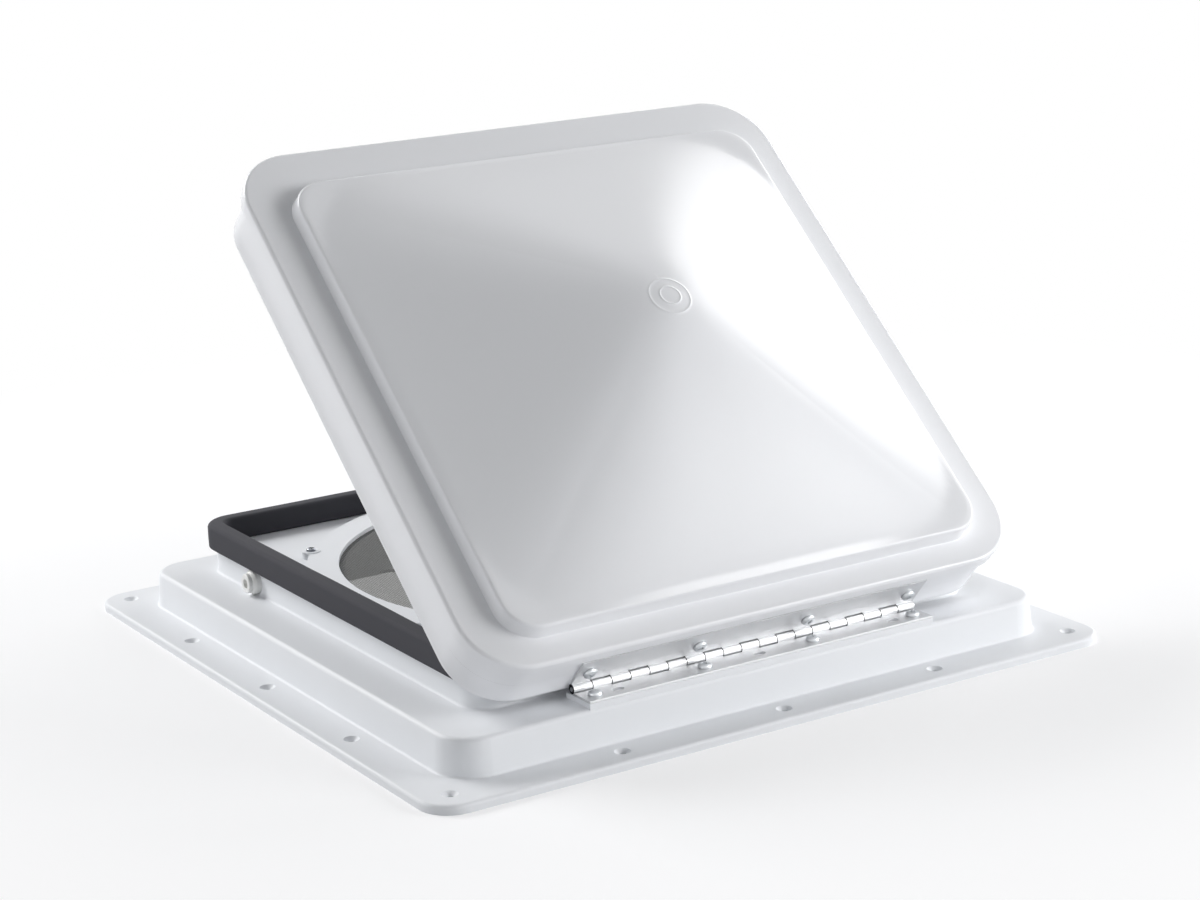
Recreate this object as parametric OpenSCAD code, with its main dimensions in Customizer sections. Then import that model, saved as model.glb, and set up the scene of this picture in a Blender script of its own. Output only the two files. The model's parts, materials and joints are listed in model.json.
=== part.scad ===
/* [Opening and base] */
// Clear width of the square opening inside the riser
opening = 344; // [330:1:360]
// Thickness of the riser wall
riser_wall = 3; // [2.5:0.1:3.5]
// Outer corner radius of the riser
riser_r = 16; // [13:1:18]
// Height of the riser above the roof
riser_top = 55.5; // [54:0.5:58]
// Width of the plinth ledge outside the riser
plinth_ledge = 32; // [30:0.5:36]
// Height of the plinth above the roof
plinth_top = 28; // [26:0.5:28.5]
// Outer corner radius of the plinth
plinth_r = 22; // [18:1:26]
// Wall thickness of the plinth
plinth_wall = 3.2; // [2.5:0.1:4]
// Widening of the plinth from its top to its foot
plinth_draft = 1.5; // [0.5:0.1:2]
// Radius in the corner at the foot of the plinth
plinth_foot_r = 1.5; // [1:0.5:3]
// Radius in the corner at the foot of the riser
riser_foot_r = 1.5; // [1:0.5:2]
// Radius on the top edge of the plinth
plinth_edge_r = 3; // [2:0.5:3]
// Width of the flange outside the plinth
flange_border = 28; // [26:0.5:36]
// Thickness of the flange
flange_t = 5.5; // [4:0.5:7]
// Corner radius of the flange
flange_r = 20; // [18:1:24]
// Radius on the top edge of the flange
flange_edge_r = 2; // [1:0.5:3]
// Offset of riser and lid from the flange centre, away from the hinge
centre_y = 3.4; // [2:0.1:5]

/* [Fixing holes] */
// Diameter of the fixing holes in the flange
fix_d = 4.8; // [4:0.1:5.5]
// Diameter of the dish at the top of each fixing hole
fix_dish_d = 9.6; // [8:0.1:11]
// Depth of the dish
fix_dish_h = 2; // [1:0.1:3]
// Distance from the flange edge to the side holes
fix_inset = 14.3; // [12:0.1:15]
// Distance from the flange edge to the corner holes
corner_inset = 18; // [16:0.5:19]
// Pitch of the holes along a side
fix_pitch = 110; // [95:1:120]

/* [Seal] */
// Thickness of the seal outside the riser
seal_out = 5; // [4:0.1:5.5]
// Thickness of the seal inside the riser
seal_in = 4; // [3.5:0.1:5]
// Depth of the outer leg of the seal below the riser top
seal_leg = 11; // [9:0.1:11]
// Height of the seal crown above the riser top
seal_crown = 5.5; // [5:0.1:6]
// Gap left round a soft or loosely seated piece
seat_gap = 0.3; // [0.2:0.05:0.5]

/* [Shroud panel and screen] */
// Depth of the panel face below the riser top
panel_drop = 10.2; // [9.5:0.1:10.5]
// Thickness of the panel
panel_t = 2.5; // [2:0.1:3]
// Least distance from the side of the opening to the hole in the collar
collar_margin = 22; // [20:0.5:30]
// Width of the raised collar
collar_w = 20; // [17:0.5:22]
// Height of the collar above the panel
collar_h = 4.2; // [3.5:0.1:4.5]
// Distance of each panel screw from the middle, across
boss_far = 137; // [134:1:140]
// Distance of each panel screw from the middle, along
boss_near = 100.6; // [98:0.2:102]
// Radius of the panel screw bosses
boss_r = 6; // [5:0.5:7]
// Height of the panel screw bosses above the panel
boss_h = 4.7; // [4:0.1:5]
// Thickness of the woven insect screen
screen_t = 0.8; // [0.6:0.1:1]
// Overlap of the screen beyond the collar hole
screen_lap = 4; // [3:0.5:4]
// Number of screen openings across the hole
screen_cells = 18; // [10:1:18]
// Thickness of the screen wires
wire_t = 1; // [0.8:0.1:1.4]
// Thickness of the screen ring
ring_t = 2.7; // [2:0.1:3]
// Number of screen ring screws
ring_screws_n = 8; // [6:1:10]

/* [Hinge] */
// Length of one knuckle
knuckle_l = 12.7; // [10:0.1:13]
// Number of knuckles, counted on both leaves
knuckles = 19; // [15:2:19]
// Outer radius of the knuckles
knuckle_r = 2.8; // [2.5:0.1:3.2]
// Radius of the hinge pin
pin_r = 1.2; // [1:0.05:1.4]
// Thickness of the hinge leaves
leaf_t = 1.5; // [1.2:0.1:1.8]
// Height of the leaf on the lid
lid_leaf_h = 24; // [20:0.5:26]
// Height of the hinge pad on the plinth
pad_h = 3; // [2.5:0.1:3.4]
// Places of the leaf screws from the middle
leaf_screw_x = [38.1, 112]; // [30:0.1:115]
// Places of the spare slots from the middle
leaf_slot_x = 97; // [90:0.5:100]
// Running clearance of pins and shafts
run_gap = 0.05; // [0.03:0.01:0.08]

/* [Lid] */
// Angle of the open lid
open_angle = 41.1; // [35:0.1:45]
// Gap between the lid skirt and the seal
lid_gap = 4; // [3.5:0.1:5]
// Wall thickness of the lid
lid_wall = 2.5; // [2:0.1:3]
// Overhang of the rim beyond the skirt
rim_lip = 3; // [2:0.1:4]
// Corner radius of the lid skirt
skirt_r = 35; // [33:1:37]
// Gap between the lid skirt and the plinth
skirt_gap = 3.5; // [3.5:0.1:4.5]
// Height of the rim above the top of the seal
rim_rise = 9.4; // [9:0.1:10]
// Radius on the edge of the rim
rim_edge_r = 2.5; // [1.5:0.5:4]
// Height of the side of the rim
rim_side = 8.5; // [7:0.5:10]
// Width of the flat rim round the dome
rim_flat = 24.2; // [23:0.1:26]
// Height of the step at the foot of the dome
step_h = 10; // [8:0.5:12]
// Radius on the upper edge of the step
dome_edge_r = 2; // [1.5:0.1:4]
// Height of the dome above its step
dome_h = 56; // [50:0.5:60]
// Offset of the dome from the middle of the lid, towards the hinge
dome_shift = 7.3; // [6.5:0.1:8]
// Corner radius of the dome
dome_r = 22; // [18:1:26]
// Hollowness of the dome faces, 1 for flat faces
dome_curve = 1.12; // [1:0.01:1.3]
// Sharpness of the dome ridges
ridge_power = 5.5; // [4:0.5:10]
// Outer radius of the round mark on top of the dome
mark_r = 13; // [10:0.5:15]

/* [Lift gear] */
// Place of the arm pivot from the hinge axis, along
pivot_along = 60.2; // [58:0.1:62]
// Place of the arm pivot from the hinge axis, up
pivot_up = 19.9; // [19:0.1:21]
// Length of the lift arm
arm_l = 166; // [162:0.5:168]
// Thickness of the lift arm
arm_t = 3; // [2.5:0.1:3.2]
// Depth of the lift arm
arm_w = 9; // [8:0.1:9.4]
// Gap between the worm and the screen ring
worm_gap = 1; // [0.5:0.1:2]
// Height of the lid track above the hinge axis
track_up = 28; // [27.5:0.1:29]
// Radius of the slide bush on the arm
slide_r = 4; // [3.5:0.1:4.2]
// Clearance of the slide bush in its track
slide_gap = 0.5; // [0.4:0.05:0.6]
// Radius of the arm pivot pin
pivot_r = 4; // [3.5:0.1:4.5]
// Pitch radius of the sector gear
sector_r = 22; // [21:0.1:22.5]
// Number of teeth on a full wheel
wheel_teeth = 30; // [28:1:32]
// Thickness of the sector gear
sector_t = 6; // [5:0.1:6.5]
// Pitch radius of the worm
worm_r = 6; // [5.8:0.1:6.3]
// Length of the worm
worm_l = 16; // [14:0.5:17]
// Radius of the crank spindle
spindle_r = 3; // [2.8:0.1:3.2]
// Height of the crank arm above the roof
crank_z = 17; // [16:0.1:18]
// Gap between the turning knob and the wall of the gear housing
crank_gap = 1.5; // [1:0.1:4]
// Radius of the crank knob
knob_r = 7.5; // [6.5:0.1:8]
// Length of the crank knob
knob_l = 12; // [10:0.1:12.5]
// Sheet thickness of the gear housing
housing_t = 3; // [2.5:0.1:3]

/* [Fan] */
// Number of fan blades
blades = 5; // [3:1:6]
// Radius of the fan
fan_r = 122; // [110:1:125]
// Height of the fan above the roof
fan_z = 35; // [34.5:0.1:35.5]
// Radius of the fan hub
hub_r = 18; // [16:0.5:20]
// Chord of a blade at its tip
blade_tip = 52; // [40:1:54]
// Chord of a blade at its root
blade_root = 26; // [22:1:28]
// Radius of the motor
motor_r = 25; // [22:0.5:27]
// Height of the motor
motor_h = 17; // [15:0.5:17.5]
// Radius of the motor shaft
shaft_r = 2.5; // [2:0.1:3]
// Width of the motor bracket
strap_w = 24; // [20:0.5:28]
// Thickness of the motor bracket
strap_t = 2.5; // [2:0.1:3]
// Height of the motor bracket above the roof
strap_z = 7.5; // [6.5:0.1:8]

/* [Guide bushes] */
// Place of the guide bushes from the middle of the riser
bush_y = 103.6; // [95:0.1:110]
// Height of the guide bushes above the plinth
bush_up = 8.2; // [8.1:0.05:8.3]
// Radius of the bush flange
bush_r = 8; // [6:0.1:8.05]
// Radius of the bush nose
bush_nose_r = 6.2; // [5:0.1:6.5]
// How far the bush stands out from the riser
bush_out = 7.8; // [6:0.1:8]
// Radius of the bush spigot in the riser wall
bush_spigot_r = 2.4; // [2.2:0.1:2.6]
// Radius of the hole in the bush nose
bush_hole_r = 3; // [2:0.1:3.5]

/* [Screws] */
// Radius of the larger screws
screw_r = 1.9; // [1.7:0.05:2.1]
// Head radius of the larger screws
head_r = 4.2; // [3.8:0.1:4.4]
// Head height of the larger screws
head_h = 2.6; // [2:0.1:2.8]
// Radius of the smaller screws
small_r = 1.4; // [1.2:0.05:1.6]
// Head radius of the smaller screws
small_head_r = 3; // [2.6:0.1:3.2]
// Head height of the smaller screws
small_head_h = 1.8; // [1.5:0.1:2]
// Width of the cross recess in the screw heads
cross_w = 0.9; // [0.6:0.1:1.1]

/* [Hidden] */
$fn = 64;
eps = 1;
white = [0.93, 0.94, 0.95];
steel = [0.72, 0.73, 0.75];
nylon = [0.92, 0.91, 0.88];
black = [0.1, 0.1, 0.12];
grey = [0.45, 0.46, 0.47];

// Half widths, from the opening outwards
opening_half = opening / 2;
riser_half = opening_half + riser_wall;
plinth_half = riser_half + plinth_ledge;
flange_half = plinth_half + flange_border;
seal_half = riser_half + seal_out;
collar_in_r = opening_half - collar_margin;
collar_out_r = collar_in_r + collar_w;
seal_in_half = opening_half - seal_in;
skirt_in = seal_half + lid_gap;
skirt_half = skirt_in + lid_wall;
rim_half = skirt_half + rim_lip;

// Heights, from the roof upwards
pad_top = plinth_top + pad_h;
panel_top = riser_top - panel_drop;
panel_low = panel_top - panel_t;
collar_top = panel_top + collar_h;
seal_top = riser_top + seal_crown;
rim_top = seal_top + rim_rise;
rim_low = rim_top - lid_wall;
skirt_low = plinth_top + skirt_gap;
screen_top = collar_top - panel_t;
ring_top = screen_top - screen_t;

// Hinge
hinge_y = centre_y - skirt_half - knuckle_r - seat_gap;
hinge_z = pad_top + knuckle_r + seat_gap;
hinge_l = knuckles * knuckle_l;
leaf_front = -plinth_half + plinth_edge_r / 3;
leaf_screw_y = (leaf_front + hinge_y - knuckle_r) / 2;
leaf_screw_z = hinge_z + lid_leaf_h / 2;

// Dome
dome_half = rim_half - rim_flat;
dome_y = centre_y - dome_shift;
dome_draft = 1;

// Lift linkage: the arm tip stays on a straight track in the lid while both turn
pivot_y = hinge_y + pivot_along;
pivot_z = hinge_z + pivot_up;
arm_closed = asin((track_up - pivot_up) / arm_l);
arm_open = open_angle
  + asin((track_up + pivot_along * sin(open_angle) - pivot_up * cos(open_angle)) / arm_l);

// Place of the arm tip along the track while the lid stands at an angle
function slide_along(angle) = let (b = arm_closed + (arm_open - arm_closed) * angle / open_angle)
  (pivot_along + arm_l * cos(b)) * cos(angle) + (pivot_up + arm_l * sin(b)) * sin(angle);
slide_places = [for (i = [0:20]) slide_along(open_angle * i / 20)];
track_far = hinge_y + max(slide_places);
track_near = hinge_y + min(slide_places);
track_z = hinge_z + track_up;
worm_y = pivot_y + sector_r + worm_r;
worm_pitch = 2 * PI * sector_r / wheel_teeth;
worm_tip_r = worm_r + 0.8 * worm_pitch / PI;
ring_screw_r = collar_in_r + screen_lap + small_head_r + 1.7;
ring_out_r = ring_screw_r + small_head_r + seat_gap;
gear_reach = ring_out_r + seat_gap + worm_gap + worm_tip_r;
gear_x = sqrt(gear_reach * gear_reach - (worm_y - centre_y) * (worm_y - centre_y));
crank_l = opening_half - housing_t - crank_gap - knob_r - gear_x;
bearing_gap = 2.5;
worm_low = pivot_z - worm_l / 2;
worm_high = pivot_z + worm_l / 2;
arm_x = gear_x - worm_r - arm_t - bearing_gap;
cheek_in_x = arm_x - seat_gap - housing_t;
cheek_out_x = gear_x + worm_r + bearing_gap + 0.5;
housing_end = 12;
housing_z = plinth_top - 2;
housing_y0 = pivot_y - housing_end;
housing_y1 = worm_y + housing_end;
housing_wall_h = 18;
housing_screw_z = housing_z - 10;
housing_screw_y = [housing_y0 + 8, housing_y1 - 8];
crank_t = 4;
crank_w = 9;
crank_hub_z = crank_z - 2;
crank_hub_h = 10;
pin_head_h = 1.6;
pin_head_w = 1.5;
knob_pin_r = 2.5;
clip_t = 1.2;
clip_depth = 0.7;
clip_x = cheek_out_x + housing_t + seat_gap;
slide_pin_r = slide_r - 1.5;
track_t = 3;
track_x = arm_x + arm_t + bearing_gap;
track_pad_h = 4;
track_end = 6;
track_top = track_z + 10;
track_foot_w = 13.5;
track_foot_end = riser_half - 4;
track_foot_x = track_foot_end - track_foot_w;
track_wall_x = track_foot_x - 3;
track_foot_z = rim_low - track_pad_h;
track_y0 = track_near - slide_r - slide_gap - track_end;
track_y1 = track_far + slide_r + slide_gap + track_end;
hub_low = fan_z - 6.5;
hub_high = fan_z + 7;
nut_h = 2.4;
bracket_h = 20;
bracket_screw_z = strap_z + 12;
motor_floor = 2;
bush_z = plinth_top + bush_up;
tab_t = 2.6;
tab_w = 18;
screw_end = 2;
slot_r = 2.3;
slot_l = 3.2;

// Panel corners: side of the screw across, side along, and 1 where the two distances change places
corners = [[-1, 1, 0], [1, 1, 0], [-1, -1, 0], [1, -1, 1]];
function boss_at(c) = c[2] == 1
  ? [c[0] * boss_near, centre_y + c[1] * boss_far]
  : [c[0] * boss_far, centre_y + c[1] * boss_near];

// Arc of points round a centre
function arc(x, z, r, a0, a1, n = 6) = [for (i = [0:n]) let (a = a0 + (a1 - a0) * i / n)
  [x + r * cos(a), z + r * sin(a)]];

// Square outline with rounded corners
module round_sq(half, r) {
  square([2 * half, 2 * (half - r)], center = true);
  square([2 * (half - r), 2 * half], center = true);
  for (x = [-1, 1], y = [-1, 1]) translate([x * (half - r), y * (half - r)]) circle(r);
}

// Upright block with a rounded square outline
module block(half, r, z0, z1) translate([0, 0, z0]) linear_extrude(z1 - z0) round_sq(half, r);

// Sweep of a profile, drawn outwards from the corner centres, round a square
module around(c) {
  for (a = [0:90:270]) rotate(a) {
    translate([c, c, 0]) rotate_extrude(angle = 90) children();
    translate([c, c, 0]) rotate([90, 0, 0]) linear_extrude(2 * c) children();
  }
}

// Box between two corners
module box(a, b) translate(a) cube(b - a);

// Plate drawn in the upright plane across the hinge, from x0 to x1
module side_plate(x0, x1) translate([x0, 0, 0]) rotate([90, 0, 90])
  linear_extrude(x1 - x0) children();

// Round bar along the hinge direction
module bar_x(x0, x1, y, z, r) translate([x0, y, z]) rotate([0, 90, 0]) cylinder(h = x1 - x0, r = r);

// Screw with its head above z = 0 and its shank below
module screw(r, l, hr, hh) difference() {
  union() {
    translate([0, 0, -l]) cylinder(h = l, r = r);
    rotate_extrude() polygon(concat([[0, 0], [hr, 0]],
      arc(hr - hh * 0.7, hh * 0.3, hh * 0.7, 0, 90, 4), [[0, hh]]));
  }
  for (a = [0, 90]) rotate(a) translate([-hr * 0.6, -cross_w / 2, hh * 0.5]) cube([hr * 1.2, cross_w, hh]);
}
module big_screw(l) screw(screw_r, l, head_r, head_h);
module small_screw(l) screw(small_r, l, small_head_r, small_head_h);

// Place of the lid pieces: drawn shut, then swung open on the hinge
module on_lid() translate([0, hinge_y, hinge_z]) rotate([open_angle, 0, 0])
  translate([0, -hinge_y, -hinge_z]) children();

// Place of the arm pieces: drawn along the roof from the pivot, then raised
module on_arm() translate([0, pivot_y, pivot_z]) rotate([arm_open, 0, 0]) children();

module fixing_holes() {
  far = flange_half - fix_inset;
  corner = flange_half - corner_inset;
  side = [for (a = [0:90:270], k = [-1:1])
    [far * cos(a) - k * fix_pitch * sin(a), far * sin(a) + k * fix_pitch * cos(a)]];
  for (p = concat(side, [for (x = [-1, 1], y = [-1, 1]) [x * corner, y * corner]])) translate(p) {
    translate([0, 0, -eps]) cylinder(h = flange_t + 2 * eps, r = fix_d / 2);
    translate([0, 0, flange_t - fix_dish_h]) cylinder(h = fix_dish_h, r1 = fix_d / 2, r2 = fix_dish_d / 2);
  }
}

module plinth_ribs() {
  rib_t = 2.5;
  rib_top = plinth_top - plinth_wall / 2;
  outer = plinth_half - plinth_wall / 2;
  for (k = [-135, -70, 70, 135], s = [-1, 1]) {
    x0 = riser_half - riser_wall / 2;
    translate([s * (x0 + outer) / 2, k, (flange_t + rib_top) / 2])
      cube([outer - x0, rib_t, rib_top - flange_t], center = true);
    y0 = x0 + s * centre_y;
    translate([k, s * (y0 + outer) / 2, (flange_t + rib_top) / 2])
      cube([rib_t, outer - y0, rib_top - flange_t], center = true);
  }
}

// Ledge that carries a panel screw, on two ribs down the riser wall
module panel_tab(c) translate(boss_at(c)) rotate(c[2] == 1 ? 90 * c[1] : 90 - 90 * c[0]) {
  reach = opening_half - boss_far + riser_wall / 2;
  translate([-boss_r - 2, -tab_w / 2, panel_low - tab_t]) cube([reach + boss_r + 2, tab_w, tab_t]);
  for (s = [-1, 1]) translate([0, s * (tab_w / 2 - 1) + 1, 0]) rotate([90, 0, 0]) linear_extrude(2)
    polygon([[0, panel_low - tab_t / 2], [reach, panel_low - tab_t / 2],
      [reach, plinth_top - 6], [reach - 4, plinth_top - 6]]);
}

module base_moulding() difference() {
  union() {
    difference() {
      union() {
        around(flange_half - flange_r) polygon(concat([[0, 0], [flange_r, 0]],
          arc(flange_r - flange_edge_r, flange_t - flange_edge_r, flange_edge_r, 0, 90, 4), [[0, flange_t]]));
        translate([0, 0, flange_t / 2])
          cube([2 * (flange_half - flange_r), 2 * (flange_half - flange_r), flange_t], center = true);
      }
      block(plinth_half - plinth_wall, plinth_r - plinth_wall, -eps, flange_t + eps);
    }
    around(plinth_half - plinth_r) polygon(concat(
      [[plinth_r + plinth_draft - plinth_wall, 0], [plinth_r + plinth_draft + plinth_foot_r, 0]],
      arc(plinth_r + plinth_draft + plinth_foot_r, flange_t + plinth_foot_r, plinth_foot_r, 270, 180, 5),
      arc(plinth_r - plinth_edge_r, plinth_top - plinth_edge_r, plinth_edge_r, 0, 90, 5),
      [[0, plinth_top], [0, plinth_top - plinth_wall], [plinth_r - plinth_wall, plinth_top - plinth_wall]]));
    translate([0, 0, plinth_top - plinth_wall / 2])
      cube([2 * (plinth_half - plinth_r), 2 * (plinth_half - plinth_r), plinth_wall], center = true);
    translate([0, centre_y, 0]) {
      block(riser_half, riser_r, 0, riser_top);
      around(riser_half - riser_r) polygon(concat([[riser_r - riser_wall / 2, plinth_top - plinth_wall / 2],
        [riser_r + riser_foot_r, plinth_top - plinth_wall / 2]],
        arc(riser_r + riser_foot_r, plinth_top + riser_foot_r, riser_foot_r, 270, 180, 4),
        [[riser_r - riser_wall / 2, plinth_top + riser_foot_r]]));
    }
    plinth_ribs();
    box([-hinge_l / 2, leaf_front, plinth_top - eps], [hinge_l / 2, hinge_y + 2 * knuckle_r, pad_top]);
    for (x = leaf_screw_x, s = [-1, 1]) translate([s * x, leaf_screw_y, plinth_top / 2])
      cylinder(h = plinth_top / 2 - plinth_wall / 2, r = screw_r + 2.6);
  }
  translate([0, centre_y, 0]) block(opening_half, riser_r - riser_wall, -eps, riser_top + eps);
  fixing_holes();
  for (x = leaf_screw_x, s = [-1, 1]) translate([s * x, leaf_screw_y, 0])
    cylinder(h = pad_top + eps, r = screw_r + run_gap);
  for (s = [-1, 1]) bar_x(s * riser_half - riser_wall - eps, s * riser_half + riser_wall + eps,
    centre_y + bush_y, bush_z, bush_spigot_r + run_gap);
  bush_places(riser_half) cylinder(h = bush_out, r = bush_r + run_gap);
  wall_screw_places() translate([0, 0, -riser_wall - eps])
    cylinder(h = riser_wall + 2 * eps, r = small_r + run_gap);
}

// Ledges inside the riser, which are part of the base moulding
module base_frame() color(white) {
  difference() {
    union() {
      base_moulding();
      for (c = corners) panel_tab(c);
    }
    for (c = corners) translate(boss_at(c)) translate([0, 0, panel_low - tab_t - eps])
      cylinder(h = tab_t + 2 * eps, r = small_r + run_gap);
  }
}

// Screws that go outwards through the riser wall: motor bracket ends and gear housing
module wall_screw_places() {
  for (s = [-1, 1], k = [-1, 1]) translate([s * opening_half, centre_y + k * strap_w / 4, bracket_screw_z])
    rotate([0, -90 * s, 0]) children();
  for (y = housing_screw_y) translate([opening_half, y, housing_screw_z]) rotate([0, -90, 0]) children();
}

module rim_seal() color(black) translate([0, centre_y, 0]) {
  width = seal_out + riser_wall + seal_in;
  mid = riser_r + seal_out - width / 2;
  around(riser_half - riser_r) polygon(concat(
    [[riser_r + seat_gap, riser_top - seal_leg], [riser_r + seal_out, riser_top - seal_leg]],
    arc(mid, seal_top - width / 2, width / 2, 0, 180, 12),
    [[riser_r - riser_wall - seal_in, panel_top + seat_gap],
      [riser_r - riser_wall - seat_gap, panel_top + seat_gap],
      [riser_r - riser_wall - seat_gap, riser_top + seat_gap],
      [riser_r + seat_gap, riser_top + seat_gap]]));
}

module shroud_panel() color(white) {
  edge = seal_in_half - seat_gap;
  edge_r = riser_r - riser_wall - seal_in;
  difference() {
    union() {
      translate([0, centre_y, 0])
        block(opening_half - seat_gap, riser_r - riser_wall - seat_gap, panel_low, panel_top);
      translate([0, centre_y, 0]) intersection() {
        translate([0, 0, panel_low]) cylinder(h = collar_top - panel_low, r = collar_out_r);
        block(edge, edge_r, panel_low, collar_top);
      }
      for (c = corners) translate(boss_at(c)) translate([0, 0, panel_low])
        cylinder(h = panel_t + boss_h, r = boss_r);
    }
    translate([0, centre_y, panel_low - eps]) {
      cylinder(h = collar_top, r = collar_in_r);
      intersection() {
        cylinder(h = screen_top - panel_low + eps, r = collar_out_r - panel_t);
        block(edge - panel_t, edge_r - panel_t, 0, screen_top - panel_low + eps);
      }
    }
    difference() {
      box([cheek_in_x - eps, housing_y0 - eps, panel_low - eps],
        [cheek_out_x + housing_t + eps, housing_y1 + eps, collar_top + eps]);
      translate([0, centre_y, 0]) cylinder(h = riser_top, r = ring_out_r + seat_gap);
    }
    for (c = corners) translate(boss_at(c)) cylinder(h = riser_top, r = small_r + run_gap);
    ring_screw_places() translate([0, 0, -eps])
      cylinder(h = collar_top - seat_gap - ring_top + ring_t + eps, r = small_r + run_gap);
  }
}

module panel_screws() color(steel)
  for (c = corners) translate(boss_at(c)) translate([0, 0, panel_top + boss_h])
  small_screw(boss_h + panel_t + tab_t + screw_end);

// Places of the screen ring screws, on the underside of the ring
module ring_screw_places() translate([0, centre_y, ring_top - ring_t]) for (i = [0:ring_screws_n - 1])
  rotate((i + 0.5) * 360 / ring_screws_n) translate([ring_screw_r, 0, 0]) children();

module insect_screen() color(grey) translate([0, centre_y, ring_top]) {
  cell = 2 * collar_in_r / screen_cells;
  difference() {
    cylinder(h = screen_t, r = collar_in_r + screen_lap - seat_gap);
    translate([0, 0, -eps]) cylinder(h = screen_t + 2 * eps, r = collar_in_r);
  }
  for (i = [1:screen_cells - 1], a = [0, 90]) {
    x = -collar_in_r + i * cell;
    l = sqrt(collar_in_r * collar_in_r - x * x) + screen_lap / 3;
    rotate(a) translate([x - wire_t / 2, -l, 0]) cube([wire_t, 2 * l, screen_t]);
  }
}

module screen_ring() color(white) difference() {
  ring_in_r = collar_in_r - 2;
  screen_r = collar_in_r + screen_lap;
  translate([0, centre_y, ring_top - ring_t]) rotate_extrude() polygon([[ring_in_r, 0], [ring_out_r, 0],
    [ring_out_r, ring_t + screen_t], [screen_r, ring_t + screen_t], [screen_r, ring_t], [ring_in_r, ring_t]]);
  ring_screw_places() translate([0, 0, -eps]) cylinder(h = 2 * ring_t, r = small_r + run_gap);
}

module ring_screws() color(steel) ring_screw_places() mirror([0, 0, 1])
  small_screw(ring_t + screen_t + panel_t - 2 * seat_gap);

// Places of the guide bushes, a distance across from the middle
module bush_places(across) for (s = [-1, 1]) translate([s * across, centre_y + bush_y, bush_z])
  rotate([0, 90 * s, 0]) children();

module guide_bushes() color(nylon) bush_places(riser_half) difference() {
  edge = 0.6;
  rotate_extrude() polygon([[0, -riser_wall], [bush_spigot_r, -riser_wall], [bush_spigot_r, 0], [bush_r, 0],
    [bush_r, bush_out * 0.4], [bush_nose_r + edge, bush_out * 0.62], [bush_nose_r, bush_out * 0.66],
    [bush_nose_r, bush_out - edge], [bush_nose_r - edge, bush_out], [0, bush_out]]);
  translate([0, 0, bush_out * 0.45]) cylinder(h = bush_out, r = bush_hole_r);
  translate([0, 0, -riser_wall - eps]) cylinder(h = riser_wall + bush_out * 0.4, r = small_r + run_gap);
}

module bush_screws() color(steel) bush_places(opening_half) mirror([0, 0, 1])
  small_screw(riser_wall + bush_out * 0.2);

// One knuckle of the hinge, counted from the left
module knuckle(k) bar_x(-hinge_l / 2 + k * knuckle_l + seat_gap / 2,
  -hinge_l / 2 + (k + 1) * knuckle_l - seat_gap / 2, hinge_y, hinge_z, knuckle_r);

module hinge_base_leaf() color(steel) difference() {
  union() {
    box([-hinge_l / 2, leaf_front, pad_top], [hinge_l / 2, hinge_y, pad_top + leaf_t]);
    for (k = [1:2:knuckles - 1]) knuckle(k);
  }
  for (k = [0:2:knuckles - 1]) box(
    [-hinge_l / 2 + k * knuckle_l - seat_gap / 2, hinge_y - knuckle_r - seat_gap, pad_top - eps],
    [-hinge_l / 2 + (k + 1) * knuckle_l + seat_gap / 2, hinge_y + eps, pad_top + leaf_t + eps]);
  bar_x(-hinge_l, hinge_l, hinge_y, hinge_z, pin_r + run_gap);
  for (x = leaf_screw_x, s = [-1, 1]) translate([s * x, leaf_screw_y, pad_top - eps])
    cylinder(h = leaf_t + 2 * eps, r = screw_r + run_gap);
  for (x = [-1, 0, 1]) translate([x * leaf_slot_x, leaf_screw_y, pad_top]) {
    for (s = [-1, 1]) translate([s * slot_l / 2, 0, -eps]) cylinder(h = leaf_t + 2 * eps, r = slot_r);
    cube([slot_l, 2 * slot_r, 4 * leaf_t], center = true);
  }
}

module hinge_pin() color(steel) bar_x(-hinge_l / 2, hinge_l / 2, hinge_y, hinge_z, pin_r);

module base_leaf_screws() color(steel) for (x = leaf_screw_x, s = [-1, 1])
  translate([s * x, leaf_screw_y, pad_top + leaf_t]) big_screw(plinth_top / 2);

// Places of the lid leaf screws, on the outer face of the leaf
module lid_leaf_places() for (x = leaf_screw_x, s = [-1, 1])
  translate([s * x, hinge_y + knuckle_r + seat_gap - leaf_t, leaf_screw_z]) rotate([90, 0, 0]) children();

module hinge_lid_leaf() color(steel) on_lid() difference() {
  skin = hinge_y + knuckle_r + seat_gap;
  union() {
    box([-hinge_l / 2, skin - leaf_t, hinge_z], [hinge_l / 2, skin, hinge_z + lid_leaf_h]);
    for (k = [0:2:knuckles - 1]) knuckle(k);
  }
  for (k = [1:2:knuckles - 1]) box(
    [-hinge_l / 2 + k * knuckle_l - seat_gap / 2, skin - leaf_t - eps, hinge_z - eps],
    [-hinge_l / 2 + (k + 1) * knuckle_l + seat_gap / 2, skin + eps, hinge_z + knuckle_r + seat_gap]);
  bar_x(-hinge_l, hinge_l, hinge_y, hinge_z, pin_r + run_gap);
  lid_leaf_places() translate([0, 0, -leaf_t - eps]) cylinder(h = leaf_t + 2 * eps, r = screw_r + run_gap);
}

module lid_leaf_screws() color(steel) on_lid() lid_leaf_places() big_screw(leaf_t + lid_wall + lid_gap / 3);

// Rounded square ring of points, side points between the corner arcs
function ring_points(half, r, n_arc, n_side) = [for (k = [0:3])
  let (cx = (k == 0 || k == 3) ? 1 : -1, cy = k < 2 ? 1 : -1, c = half - r) each concat(
    [for (i = [0:n_arc]) let (a = k * 90 + i * 90 / n_arc) [cx * c + r * cos(a), cy * c + r * sin(a)]],
    [for (i = [1:n_side - 1]) let (t = c * (1 - 2 * i / n_side))
      k == 0 ? [t, half] : k == 1 ? [-half, t] : k == 2 ? [-t, -half] : [half, -t]])];

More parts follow.
